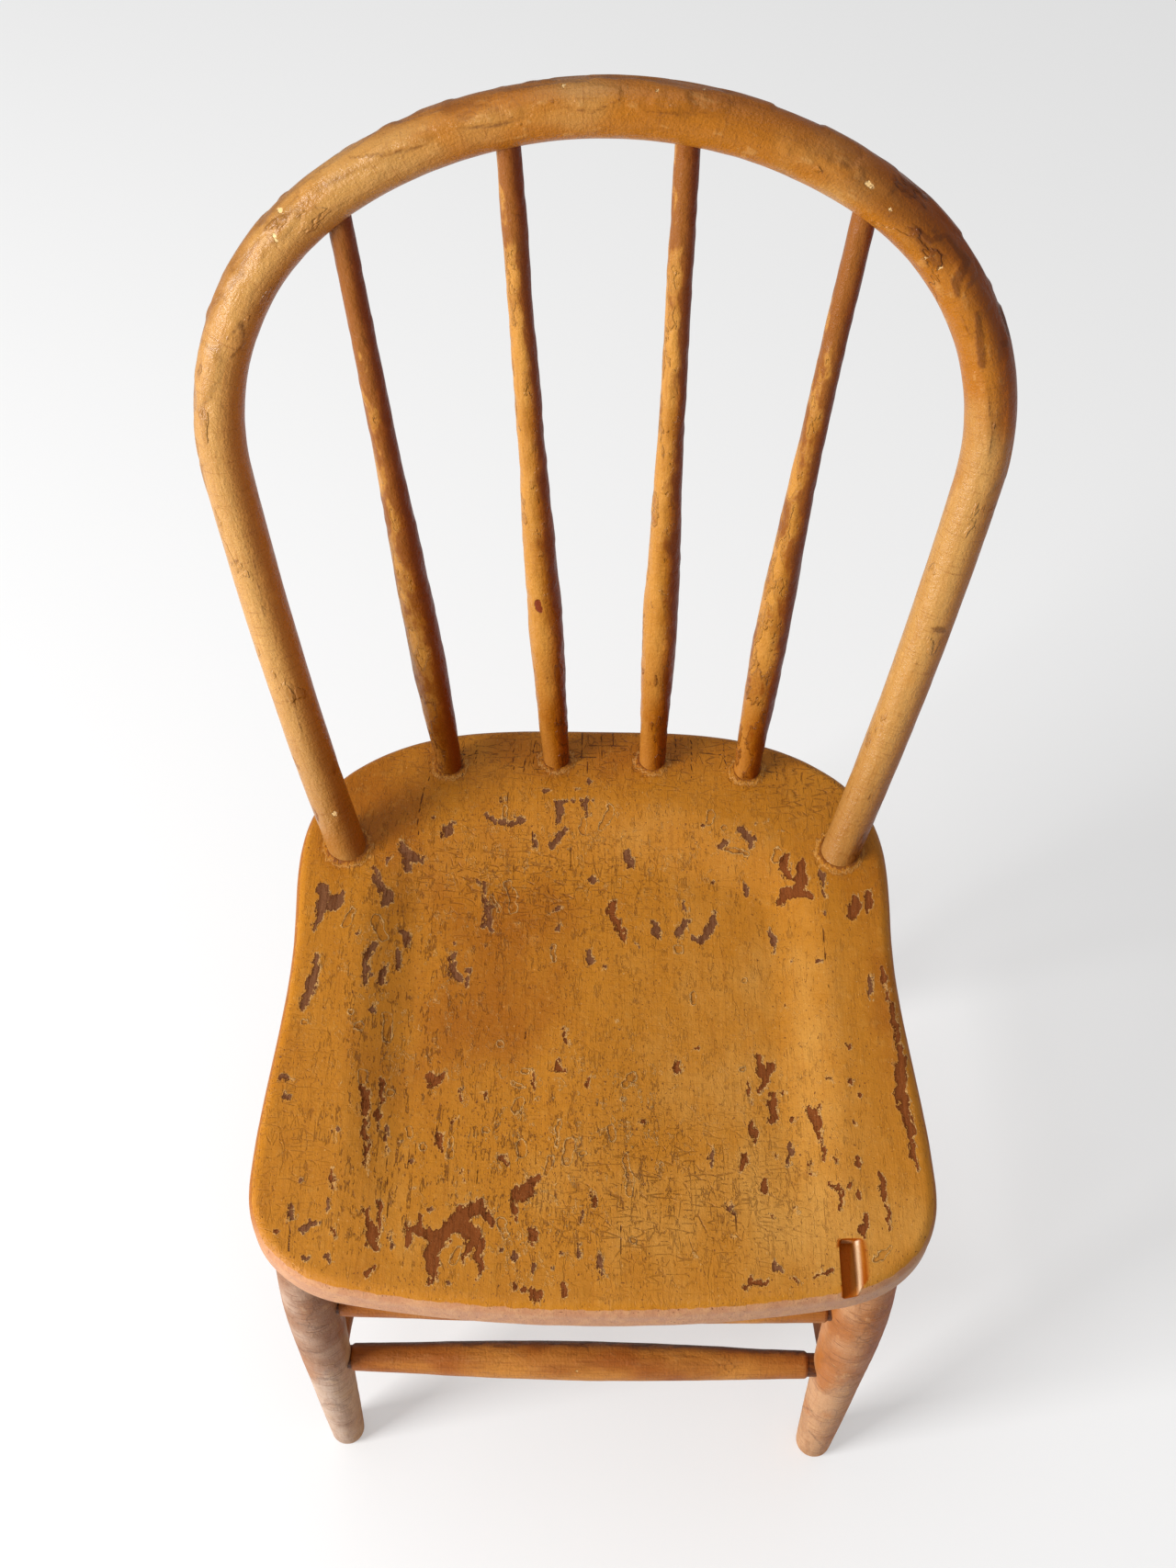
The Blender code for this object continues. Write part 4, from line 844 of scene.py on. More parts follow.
def plank():
    """The seat's closed skin, before its paint: points, quads and triangles.

    The top is a patch. Rings go on from its edge: over the worn round, down the wall, round the
    lower edge, and in under the plank to a middle point.
    """
    across, back = SEAT_CELLS
    loop, inward = seat_loop(across, back)
    patch = seat_patch(loop + inward * TOP_ROUND, across, back)
    index = np.arange((across + 1) * (back + 1)).reshape(across + 1, back + 1)
    edge_index = np.concatenate([index[:-1, 0], index[-1, :-1], index[:0:-1, -1], index[0, :0:-1]])
    flat = patch.reshape(-1, 2)
    layers = [np.column_stack([flat, SEAT_TOP - saddle(flat[:, 0], flat[:, 1])])]
    turns = np.radians(np.linspace(90, 0, 8)[1:])
    steps = [(TOP_ROUND * (1 - math.cos(a)), TOP_ROUND * (1 - math.sin(a)), 1.0) for a in turns]
    wall_foot = SEAT_THICKNESS - BOTTOM_ROUND
    steps += [(0.0, drop, 1.0) for drop in np.linspace(TOP_ROUND, wall_foot, 8)[1:]]
    steps += [(BOTTOM_ROUND * (1 - math.cos(a)), wall_foot + BOTTOM_ROUND * math.sin(a), 1.0)
              for a in np.radians((30, 60, 90))]
    steps += [(BOTTOM_ROUND, SEAT_THICKNESS, shrink) for shrink in (0.8, 0.55, 0.3, 0.1)]
    centre = np.array([0.0, SEAT_DEPTH / 2])
    for offset, drop, shrink in steps:
        spot = centre + (loop + inward * offset - centre) * shrink
        hollow = saddle(spot[:, 0], spot[:, 1]) * (drop <= TOP_ROUND)
        layers.append(np.column_stack([spot, SEAT_TOP - drop - hollow]))
    layers.append(np.array([[centre[0], centre[1], SEAT_TOP - SEAT_THICKNESS]]))
    points = np.concatenate(layers)
    points[:, 1] += SEAT_FRONT_Y
    top = np.stack([index[:-1, :-1], index[1:, :-1], index[1:, 1:], index[:-1, 1:]], axis=-1).reshape(-1, 4)
    size = len(loop)
    rings = [edge_index] + [len(flat) + k * size + np.arange(size) for k in range(len(steps))]
    walls = [np.stack([low, np.roll(low, -1), np.roll(high, -1), high], axis=-1)
             for high, low in zip(rings, rings[1:])]
    middle_point = len(points) - 1
    fan = np.stack([rings[-1], np.full(size, middle_point), np.roll(rings[-1], -1)], axis=-1)
    return points, np.concatenate([top] + walls), fan


def worn_lip(height):
    """How far a lip has opened at a height above the pocket's floor, as a share of its width.

    It is 1 - sqrt(1 - h^2), a quarter of an ellipse, where h goes from 0 to 1 up to the seat's top.
    """
    h = np.clip(height - 0.5 * MM, 0, 4.5 * MM) / (4.5 * MM)
    return 1 - np.sqrt(1 - h ** 2)


def notch_cutter(material):
    """The pocket's shape: rounded rectangles that widen upwards, by more on the right.

    The edge of its floor is tucked in.
    """
    sides = 48
    angle = np.arange(sides) * 2 * np.pi / sides
    squareness = 0.22
    rings = []
    front = SEAT_FRONT_Y - 12 * MM
    heights = np.concatenate([[0.0, 0.25, 0.7], np.linspace(1.5, 5.0, 12), [5.6, 9.0]]) * MM
    for height in heights:
        tuck = 0.7 * MM * (1 - smoothstep(0, 0.8 * MM, height))
        worn = worn_lip(height)
        left = NOTCH_LEFT - NOTCH_LIPS[0] * worn + tuck
        right = NOTCH_RIGHT + NOTCH_LIPS[1] * worn - tuck
        rear = NOTCH_BACK + NOTCH_BACK_LIP * worn - tuck
        across, deep = (np.sign(part) * np.abs(part) ** squareness for part in (np.cos(angle), np.sin(angle)))
        x = (left + right) / 2 + (right - left) / 2 * across
        y = (front + rear) / 2 + (rear - front) / 2 * deep
        rings.append(np.column_stack([x, y, np.full(sides, NOTCH_FLOOR + height)]))
    points = np.concatenate(rings + [rings[0].mean(axis=0)[None], rings[-1].mean(axis=0)[None]])
    return add_piece("notch_cutter", points, *tube_faces(len(rings), sides), material)


def cut_out(piece, cutter):
    """Takes the cutter out of the piece and leaves the result as the piece's own mesh."""
    boolean = piece.modifiers.new("cut", "BOOLEAN")
    boolean.operation = "DIFFERENCE"
    boolean.solver = "EXACT"
    boolean.object = cutter
    deps = bpy.context.evaluated_depsgraph_get()
    result = bpy.data.meshes.new_from_object(piece.evaluated_get(deps))
    piece.modifiers.clear()
    old = piece.data
    piece.data = result
    bpy.data.meshes.remove(old)
    bpy.data.objects.remove(cutter, do_unlink=True)


def on_seat(pixels):
    """Where photograph pixels fall on the seat, by three rounds of ray and height."""
    right, up, ahead = camera_axes()
    ray = (FOCAL_PIXELS * ahead + (pixels[:, :1] - IMAGE_WIDTH / 2) * right
           - (pixels[:, 1:2] - IMAGE_HEIGHT / 2) * up)
    height = np.full(len(pixels), SEAT_TOP)
    for _ in range(3):
        reach = (height - CAMERA_AT[2]) / ray[:, 2]
        spot = CAMERA_AT + reach[:, None] * ray
        height = SEAT_TOP - saddle(spot[:, 0], spot[:, 1] - SEAT_FRONT_Y)
    return spot[:, :2], reach


def chip_field(spots, strokes):
    """Signed distance in metres from each spot to the nearest stroke, negative inside.

    A stroke is a chain of (x, y, radius) beads in photograph pixels, laid on the seat.
    """
    nearest = np.full(len(spots), 50 * MM)
    for stroke in strokes:
        beads, radii = beads_of(stroke)
        places, reach = on_seat(beads)
        box_low, box_high = places.min(axis=0) - 12 * MM, places.max(axis=0) + 12 * MM
        near = np.all((spots > box_low) & (spots < box_high), axis=1)
        nearest[near] = np.minimum(nearest[near], stroke_gap(spots[near], places, radii * reach))
    return nearest


def zone_field(spots, zones):
    """Sum of soft round zones, each amount * exp(-(distance / radius)^2), read off the photograph."""
    total = np.zeros(len(spots))
    for x, y, wide, deep, amount in zones:
        centre, reach = on_seat(np.array([[x, y]], dtype=float))
        away = (spots - centre[0]) / (reach[0] * np.array([wide, deep * 1.15]))
        total += amount * np.exp(-np.sum(away ** 2, axis=1))
    return total


def rod_gap(spots, foot):
    """How far each (x, y) spot at the rim's height is from a leaning rod's skin."""
    at_rim, direction, radius = foot
    points = np.column_stack([spots, np.full(len(spots), SEAT_TOP)])
    return np.linalg.norm(np.cross(points - at_rim, direction), axis=1) - radius


# Which side of a chip each point lies on, to place the painted highlights and shadows on its edges
def lee_side(mesh, spots, field):
    """From -1 on a chip's left edge to 1 on its right one: the field's slope towards +X.

    Each edge of the mesh gives its rise over its length, weighted by how far it runs along X.
    """
    ends = np.empty(len(mesh.edges) * 2, dtype=np.int32)
    mesh.edges.foreach_get("vertices", ends)
    a, b = ends.reshape(-1, 2).T
    step = spots[b, 0] - spots[a, 0]
    share = np.abs(step)
    slope = (field[b] - field[a]) / np.where(share > 1e-7, step, 1.0) * (share > 1e-7)
    total, weight = np.zeros(len(spots)), np.full(len(spots), 1e-9)
    for end in (a, b):
        total += np.bincount(end, slope * share, len(spots))
        weight += np.bincount(end, share, len(spots))
    return np.clip(total / weight, -1, 1)


def paint_height(places, peel, old, feet):
    """How far the paint stands over the plank, in metres.

    It goes down in chips and old dents, and up a little along an open chip's rim and in a fillet
    round each rod's foot. Low ridges follow the brush.
    """
    lifted = 1 - smoothstep(-0.6 * MM, 0.2 * MM, peel)
    dent = 1 - smoothstep(-1.0 * MM, 0.2 * MM, old)
    height = RIM_RISE * np.exp(-(peel / (0.9 * MM)) ** 2) - CHIP_DEPTH * lifted - DENT_DEPTH * dent
    height += 0.10 * MM * lumps(places, (9 * MM, 26 * MM, 20 * MM), 31)
    height += 0.035 * MM * lumps(places, (1.8 * MM, 9 * MM, 9 * MM), 32)
    for foot in feet:
        gap = rod_gap(places[:, :2], foot)
        uneven = gap - 0.9 * MM * lumps(places, 5 * MM, 34)
        height += FILLET_RISE * (1 - smoothstep(0.6 * MM, 2.8 * MM, uneven)) * (gap > -2 * MM)
    return height


def pocket_shares(places, normals):
    """How far each point belongs to the pocket, to its worn right lip and to that lip's crest.

    The pocket is a box as wide as its lips are worn, the lip is what faces left in it, and the
    crest is a bell curve across the lip, where the paint is glossier and carries a painted highlight.
    """
    x, y, z = places.T
    worn = worn_lip(z - NOTCH_FLOOR)
    inside = ((x > NOTCH_LEFT - NOTCH_LIPS[0] * worn - 0.4 * MM)
              & (x < NOTCH_RIGHT + NOTCH_LIPS[1] * worn + 0.6 * MM) & (y < NOTCH_BACK + NOTCH_BACK_LIP)
              & (z > NOTCH_FLOOR - 0.5 * MM) & (z < SEAT_TOP - 0.3 * MM) & (normals[:, 1] > -0.95))
    lip = inside * smoothstep(0.12, 0.45, -normals[:, 0])
    over_lip = (x - NOTCH_RIGHT) / NOTCH_LIPS[1]
    crest_at, crest_width = 0.16, 0.15
    crest = np.exp(-((over_lip - crest_at) / crest_width) ** 2)
    return {"pocket": inside * 1.0, "lip": lip, "polish_and_highlight": lip * crest}


def build_seat(material, feet):
    """The plank with its pocket, then its paint, and what each point tells the material."""
    seat = add_piece("seat_painted", *plank(), material, "seat_paint", ["seat"])
    cut_out(seat, notch_cutter(material))
    mesh = seat.data
    places, normals = read_points(mesh), read_points(mesh, "normal")
    spots = places[:, :2]
    upward = smoothstep(0.25, 0.8, normals[:, 2])
    wander = np.column_stack([0.9 * MM * lumps(places, 3.2 * MM, seed) for seed in (21, 22)])
    red, grey, old, cracks = (
        chip_field(spots + wander * share, [stroke for group in groups.values() for stroke in group])
        for groups, share in ((RED_CHIPS, 1.0), (GREY_CHIPS, 1.0), (OLD_CHIPS, 0.9), (CRACKS, 0.5)))
    peel = np.minimum(red, grey)
    places[:, 2] += paint_height(places, peel, old, feet) * upward
    side = 0.10 * MM * lumps(places, (12 * MM, 12 * MM, 4 * MM), 33) * (1 - upward)
    places += normals * side[:, None]
    mesh.vertices.foreach_set("co", places.ravel())
    mesh.update()
    told = {"peel": peel / MM, "old_chip": old / MM, "crack": cracks / MM, "on_top": upward,
            "lee": lee_side(mesh, spots, np.minimum(peel, old)), "tone": zone_field(spots, TONE_AND_SHADING_ZONES),
            "grey_coat": smoothstep(-0.3 * MM, 0.3 * MM, red - grey),
            "foot": np.min([rod_gap(spots, foot) for foot in feet], axis=0) / MM,
            **pocket_shares(places, normals)}
    for name, zones in (("crazing", CRAZED_ZONES), ("splits", SPLIT_ZONES), ("flaky", FLAKY_ZONES)):
        told[name] = np.clip(zone_field(spots, zones), 0, 1) * upward
    for name in SEAT_SHARES:
        keep(seat, name, told[name])
    mesh.shade_smooth()
    mesh.set_sharp_from_angle(angle=math.radians(48))


# Turned rods

def build_spindles(material):
    """Four fanned spindles: lumpy under their paint, bowed a little, each to its own measure."""
    feet = []
    for number, bow in enumerate(SPINDLE_BOWS, start=1):
        node = f"spindle_{number}"
        foot, head = axis_of(node)
        line = straight_line(foot, head, SPINDLE_RINGS, bow)
        run = line[3]
        shown = run[-1] - SPINDLE_SUNK
        stations = [(SPINDLE_SUNK + share * shown, radius) for share, radius in SPINDLE_OUTLINE]
        radius = turned_radius(stations, run)
        relief = brushed_paint(0.50 * MM, 9 * MM, 3.4 * MM, 40 + 3 * number)

        def coat(straight, angle, shown=shown, brown=SPINDLE_BROWN[number - 1]):
            """Orange at the foot, browner to the head, browner at both sides and on the right as painted
            shade, paler on the left as painted light.
            """
            height = (straight[:, 2] - SPINDLE_SUNK) / shown
            across = np.cos(angle)
            # Browner on the right, away from the light, and at both sides: painted shade
            rough = brown + 0.9 * (height - 0.5) + 0.85 * across + 0.6 * across ** 2 - 0.3
            rough += 0.9 * smoothstep(0.70, 0.92, height)
            at_foot = 1 - smoothstep(0.02, 0.34, height + 0.06 * lumps(straight, 0.01, 92))
            # Paler on the left, towards the light: painted light
            return {"rough": rough, "pale": -0.8 * across, "shade": 0.55 * at_foot}
        rod(node, line, radius, SPINDLE_SIDES, relief, coat, material, "spindle_paint")
        direction = (head - foot) / run[-1]
        at_rim = foot + direction * (SEAT_TOP - foot[2]) / direction[2]
        feet.append((at_rim, direction, SPINDLE_OUTLINE[0][1]))
    return feet


def hoop_feet():
    """Where the hoop's feet pass the seat's rim, with their directions and radius."""
    (centres, *_), radius = hoop_line(HOOP_RINGS)
    feet = []
    for end, inside in ((0, 12), (-1, -13)):
        direction = centres[inside] - centres[end]
        direction /= np.linalg.norm(direction)
        at_rim = centres[end] + direction * (SEAT_TOP - centres[end][2]) / direction[2]
        feet.append((at_rim, direction, radius[end]))
    return feet


def build_legs(left_paint, right_paint):
    """Four turned legs with a belly near the top, their feet worn round and sawn level.

    The foot's round is a quarter of an ellipse, FOOT_ROUND deep and FOOT_ROUND_HIGH high.
    """
    for place, (belly_r, foot_r) in LEG_RADII.items():
        node = f"leg_{place}"
        foot, head = axis_of(node)
        along = (head - foot) / np.linalg.norm(head - foot)
        start = foot - along * LEG_FOOT_TUCK
        line = straight_line(start, head, LEG_RINGS)
        run = line[3]
        above_floor = run - LEG_FOOT_TUCK
        length = above_floor[-1] - LEG_SUNK
        belly = length - LEG_BELLY_BELOW_SEAT
        radius = turned_radius([(3 * MM, foot_r), (0.45 * belly, foot_r + 0.62 * (belly_r - foot_r)),
                                (belly, belly_r), (length, LEG_TENON_R)], above_floor)
        worn = np.clip(1 - (above_floor + 0.6 * MM) / FOOT_ROUND_HIGH, 0, 1)
        radius = radius - FOOT_ROUND * (1 - np.sqrt(1 - worn ** 2))
        brushed = brushed_paint(0.16 * MM, 11 * MM, 4 * MM, 60)

        def relief(straight, angle, run_at, brushed=brushed):
            """Brushed paint, and under it the rings that turning left, about a millimetre apart."""
            rings = lumps(straight + 4 * MM, (12 * MM, 12 * MM, 1.1 * MM), 71)
            return brushed(straight, angle, run_at) + 0.05 * MM * rings

        def coat(straight, angle, length=run[-1]):
            """Paler towards the foot."""
            return {"pale": 1.6 * (0.55 - straight[:, 2] / length)}
        paint = right_paint if place.endswith("right") else left_paint
        flatten_foot(rod(node, line, radius, LEG_SIDES, relief, coat, paint, "leg_paint"))


def flatten_foot(leg):
    """Brings whatever reaches below the floor up to it, so the foot is level."""
    points = read_points(leg.data)
    points[:, 2] = np.maximum(points[:, 2], 0.0)
    leg.data.vertices.foreach_set("co", points.ravel())
    leg.data.update()


def build_stretchers(material):
    """Five round stretchers: fullest at the middle, square shoulders, and tenons in the legs."""
    for node, middle_r in STRETCHER_MIDDLE_R.items():
        start, end = axis_of(node)
        points = read_points(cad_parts[node].data)
        along = (end - start) / np.linalg.norm(end - start)
        reach = (points - start) @ along
        away = np.linalg.norm(points - start - reach[:, None] * along, axis=1)
        shoulders = reach[away > STRETCHER_TENON_R + 0.4 * MM]
        first, last = shoulders.min(), shoulders.max()
        line = straight_line(start, end, STRETCHER_RINGS)
        run = line[3]
        body = turned_radius([(first, STRETCHER_END_R), ((first + last) / 2, middle_r),
                              (last, STRETCHER_END_R)], run)
        shown = (run >= first) & (run <= last)
        ease = smoothstep(-0.2 * MM, 1.2 * MM, np.minimum(run - first, last - run))
        radius = np.where(shown, body - 0.6 * MM * (1 - ease), STRETCHER_TENON_R)
        relief = brushed_paint(0.20 * MM, 10 * MM, 3.5 * MM, 90)

        def coat(straight, angle, ends=(first, last)):
            """Painted shade along the back edge, under the seat, and dark on the tenons."""
            from_back = np.abs(angle - 1.10 * np.pi) + 0.1 * lumps(straight, 0.01, 91)
            tenon = (straight[:, 2] < ends[0]) | (straight[:, 2] > ends[1])
            return {"shade": np.where(tenon, 0.9, 1 - smoothstep(0.35, 1.05, from_back))}
        rod(node, line, radius, STRETCHER_SIDES, relief, coat, material, "stretcher_paint")


# Materials

# What each shader node is called here: Blender's name for it, its settings, the inputs that are
# filled in order, and the output that is passed on
NODES = {
    "attribute": ("ShaderNodeAttribute", {}, (), "Fac"),
    "place on the rod": ("ShaderNodeAttribute", {"attribute_name": "straight"}, (), "Vector"),
    "place": ("ShaderNodeTexCoord", {}, (), "Object"),
    "y of": ("ShaderNodeSeparateXYZ", {}, (0,), "Y"),
    "camera ray": ("ShaderNodeLightPath", {}, (), "Is Camera Ray"),
    "stretch": ("ShaderNodeVectorMath", {"operation": "MULTIPLY"}, (0, 1), 0),
    "shift": ("ShaderNodeVectorMath", {"operation": "ADD"}, (0, 1), 0),
    "stretch and shift": ("ShaderNodeVectorMath", {"operation": "MULTIPLY_ADD"}, (0, 1, 2), 0),
    "noise": ("ShaderNodeTexNoise", {}, ("Vector", "Scale", "Detail", "Roughness"), "Fac"),
    "wobble": ("ShaderNodeTexNoise", {}, ("Vector", "Scale", "Detail"), "Color"),
    "gap to cell edge": ("ShaderNodeTexVoronoi", {"feature": "DISTANCE_TO_EDGE"},
                         ("Vector", "Scale", "Randomness"), "Distance"),
    "range": ("ShaderNodeMapRange", {"interpolation_type": "SMOOTHSTEP"},
              ("Value", "From Min", "From Max", "To Min", "To Max"), 0),
    "times": ("ShaderNodeMath", {"operation": "MULTIPLY"}, (0, 1), 0),
    "minus": ("ShaderNodeMath", {"operation": "SUBTRACT"}, (0, 1), 0),
    "most": ("ShaderNodeMath", {"operation": "MAXIMUM"}, (0, 1), 0),
    "absolute": ("ShaderNodeMath", {"operation": "ABSOLUTE"}, (0,), 0),
    "times plus": ("ShaderNodeMath", {"operation": "MULTIPLY_ADD"}, (0, 1, 2), 0),
    "mix": ("ShaderNodeMix", {"data_type": "RGBA"}, (0, 6, 7), 2),
    "tint": ("ShaderNodeMix", {"data_type": "RGBA", "blend_type": "MULTIPLY"}, (0, 6, 7), 2),
    "bump": ("ShaderNodeBump", {}, ("Height", "Strength", "Distance"), 0),
}


def add_node(tree, kind, *values, **settings):
    """Adds a node of NODES, fills its inputs with links, numbers or hex colours: its output."""
    name, fixed, inputs, output = NODES[kind]
    node = tree.nodes.new(name)
    for option, value in {**fixed, **settings}.items():
        setattr(node, option, value)
    for at, value in zip(inputs, values):
        if isinstance(value, bpy.types.NodeSocket):
            tree.links.new(value, node.inputs[at])
        else:
            node.inputs[at].default_value = hex_to_linear(value) if isinstance(value, str) else value
    return node.outputs[output]


def scaled(put, place, size, stretch, seed):
    """Places in units of size metres times stretch on each axis, shifted by the seed."""
    units = put("stretch", place, tuple(1 / (size * s) for s in stretch))
    return put("shift", units, (seed, seed * 0.7, seed * 1.3))


def noise(put, place, size, detail, rough, seed, stretch=(1, 1, 1)):
    """Fractal noise, 0 to 1 about 0.5, whose lumps are size metres, times stretch on each axis."""
    return put("noise", scaled(put, place, size, stretch, seed), 1.0, detail, rough)


def crackle(put, place, size, stretch, seed, width):
    """1 in the cracks between cells of size metres times stretch; width is a share of a cell.

    The cells are a Voronoi pattern whose places are first bent by noise a sixth of a cell wide.
    """
    units = scaled(put, place, size, stretch, seed)
    bent = put("stretch and shift", put("wobble", units, 1.6, 3.0), (0.35, 0.35, 0.0), units)
    return put("range", put("gap to cell edge", bent, 1.0, 0.85), 0.25 * width, width, 1, 0)


def lines(put, value, level, half_width):
    """1 along the contour where value passes level, fading to 0 at half_width on each side."""
    away = put("absolute", put("minus", value, level))
    return put("range", away, 0.25 * half_width, half_width, 1, 0)


def frayed(put, field, pattern, amount, middle_level=0.5):
    """A field whose contours wander: the field plus (pattern - its middle level) * amount."""
    return put("times plus", put("minus", pattern, middle_level), amount, field)


def coats(put, colour, layers):
    """Colours laid one over the other, each by its share times its strength."""
    for share, strength, over in layers:
        colour = put("mix", put("times", share, strength), colour, over)
    return colour


def new_material(name):
    """A material, the function that adds a node to it, and its shader."""
    material = bpy.data.materials.new(name)
    material.use_nodes = True
    tree = material.node_tree
    return material, partial(add_node, tree), tree.nodes["Principled BSDF"]


def finish_material(put, shader, colour, roughness, relief):
    """Links the shader's colour, roughness and bump; its height is the sum of layer * metres."""
    height = 0.0
    for layer, metres in relief:
        height = put("times plus", layer, metres, height)
    for name, value in (("Base Color", colour), ("Roughness", roughness),
                        ("Normal", put("bump", height, 1.0, 1.0))):
        shader.id_data.links.new(value, shader.inputs[name])


def rod_paint(look):
    """Thick brushed enamel on turned wood, its last coat pooled in wavy-edged brown patches.

    look gives its name, its colours, and how strong its patches, streaks, wear, rings and lumps
    are. A pool's edge is a contour of its noise, moved by how rough the coat is at that place.
    """
    material, put, shader = new_material(look["name"])
    place = put("place on the rod")
    told = {name: put("attribute", attribute_name=name) for name in ROD_SHARES}
    streak = noise(put, place, 1.0 * MM, 4, 0.62, 3.1, (1, 1, 16))
    broad = noise(put, place, 30 * MM, 2, 0.5, 7.7, (1, 1, 1.6))
    pool = noise(put, place, look["pool_size"], 4, 0.55, 1.9, (1, 1, look["pool_long"]))
    wear = noise(put, place, 5 * MM, 4, 0.65, 12.7, (1, 1, 1.8))
    fine = noise(put, place, 1.3 * MM, 3, 0.6, 15.1)
    speck = noise(put, place, 1.0 * MM, 2, 0.5, 9.4)
    ring = noise(put, place, 1.0 * MM, 3, 0.6, 5.3, (14, 14, 1))
    pool = put("times plus", told["rough"], 0.20, pool)
    pool_from = look["pool_from"]
    edge = lines(put, pool, pool_from + 0.01, 0.045)
    tone = put("times plus", told["pale"], 0.22, broad)
    stain = put("range", frayed(put, told["mark"], fine, 2.4), 0.6, -0.8)
    # Along the hoop's sagged steps the dark line is painted shadow under each step
    stain = put("most", stain, put("times", told["edge"], 0.5))
    nick = put("range", frayed(put, told["nick"], fine, 2.0), 0.15, -0.25)
    colour = coats(put, look["dark"], (
        (put("range", tone, 0.36, 0.64), 1, look["light"]),
        (put("range", streak, 0.42, 0.75), look["streaks"], look["streak"]),
        (put("range", wear, 0.56, 0.68), look["wear"], look["worn"]),
        (put("range", pool, pool_from, pool_from + 0.14), look["pools"], look["pool"]),
        (edge, put("times plus", told["shade"], 0.5, look["edges"]), look["edge"]),
        (put("range", ring, 0.57, 0.68), look["rings"], look["ring"]),
        (put("range", speck, 0.70, 0.75), look["specks"], look["speck"]),
        (told["shade"], 0.8, look["shade"])))
    # Painted shade: what faces right, away from the light, is tinted darker and more saturated
    colour = put("tint", told["right"], colour, look["right"])
    colour = coats(put, colour, (
        (edge, put("times", told["shade"], 0.6), look["stain"]),
        (stain, 0.62, look["stain"]),
        (nick, 1, look["nick"])))
    shader.inputs["Specular IOR Level"].default_value = look["sheen"]
    roughness = put("range", wear, 0.3, 0.7, look["gloss"], look["gloss"] + 0.14)
    pooled = put("range", pool, pool_from - 0.01, pool_from + 0.02)
    finish_material(put, shader, colour, roughness, (
        (pooled, look["pool_depth"]), (wear, look["lumps"]), (fine, look["fine"]),
        (ring, look["ring_depth"]), (streak, 0.08 * MM), (stain, 0.2 * MM), (nick, -0.3 * MM)))
    return material


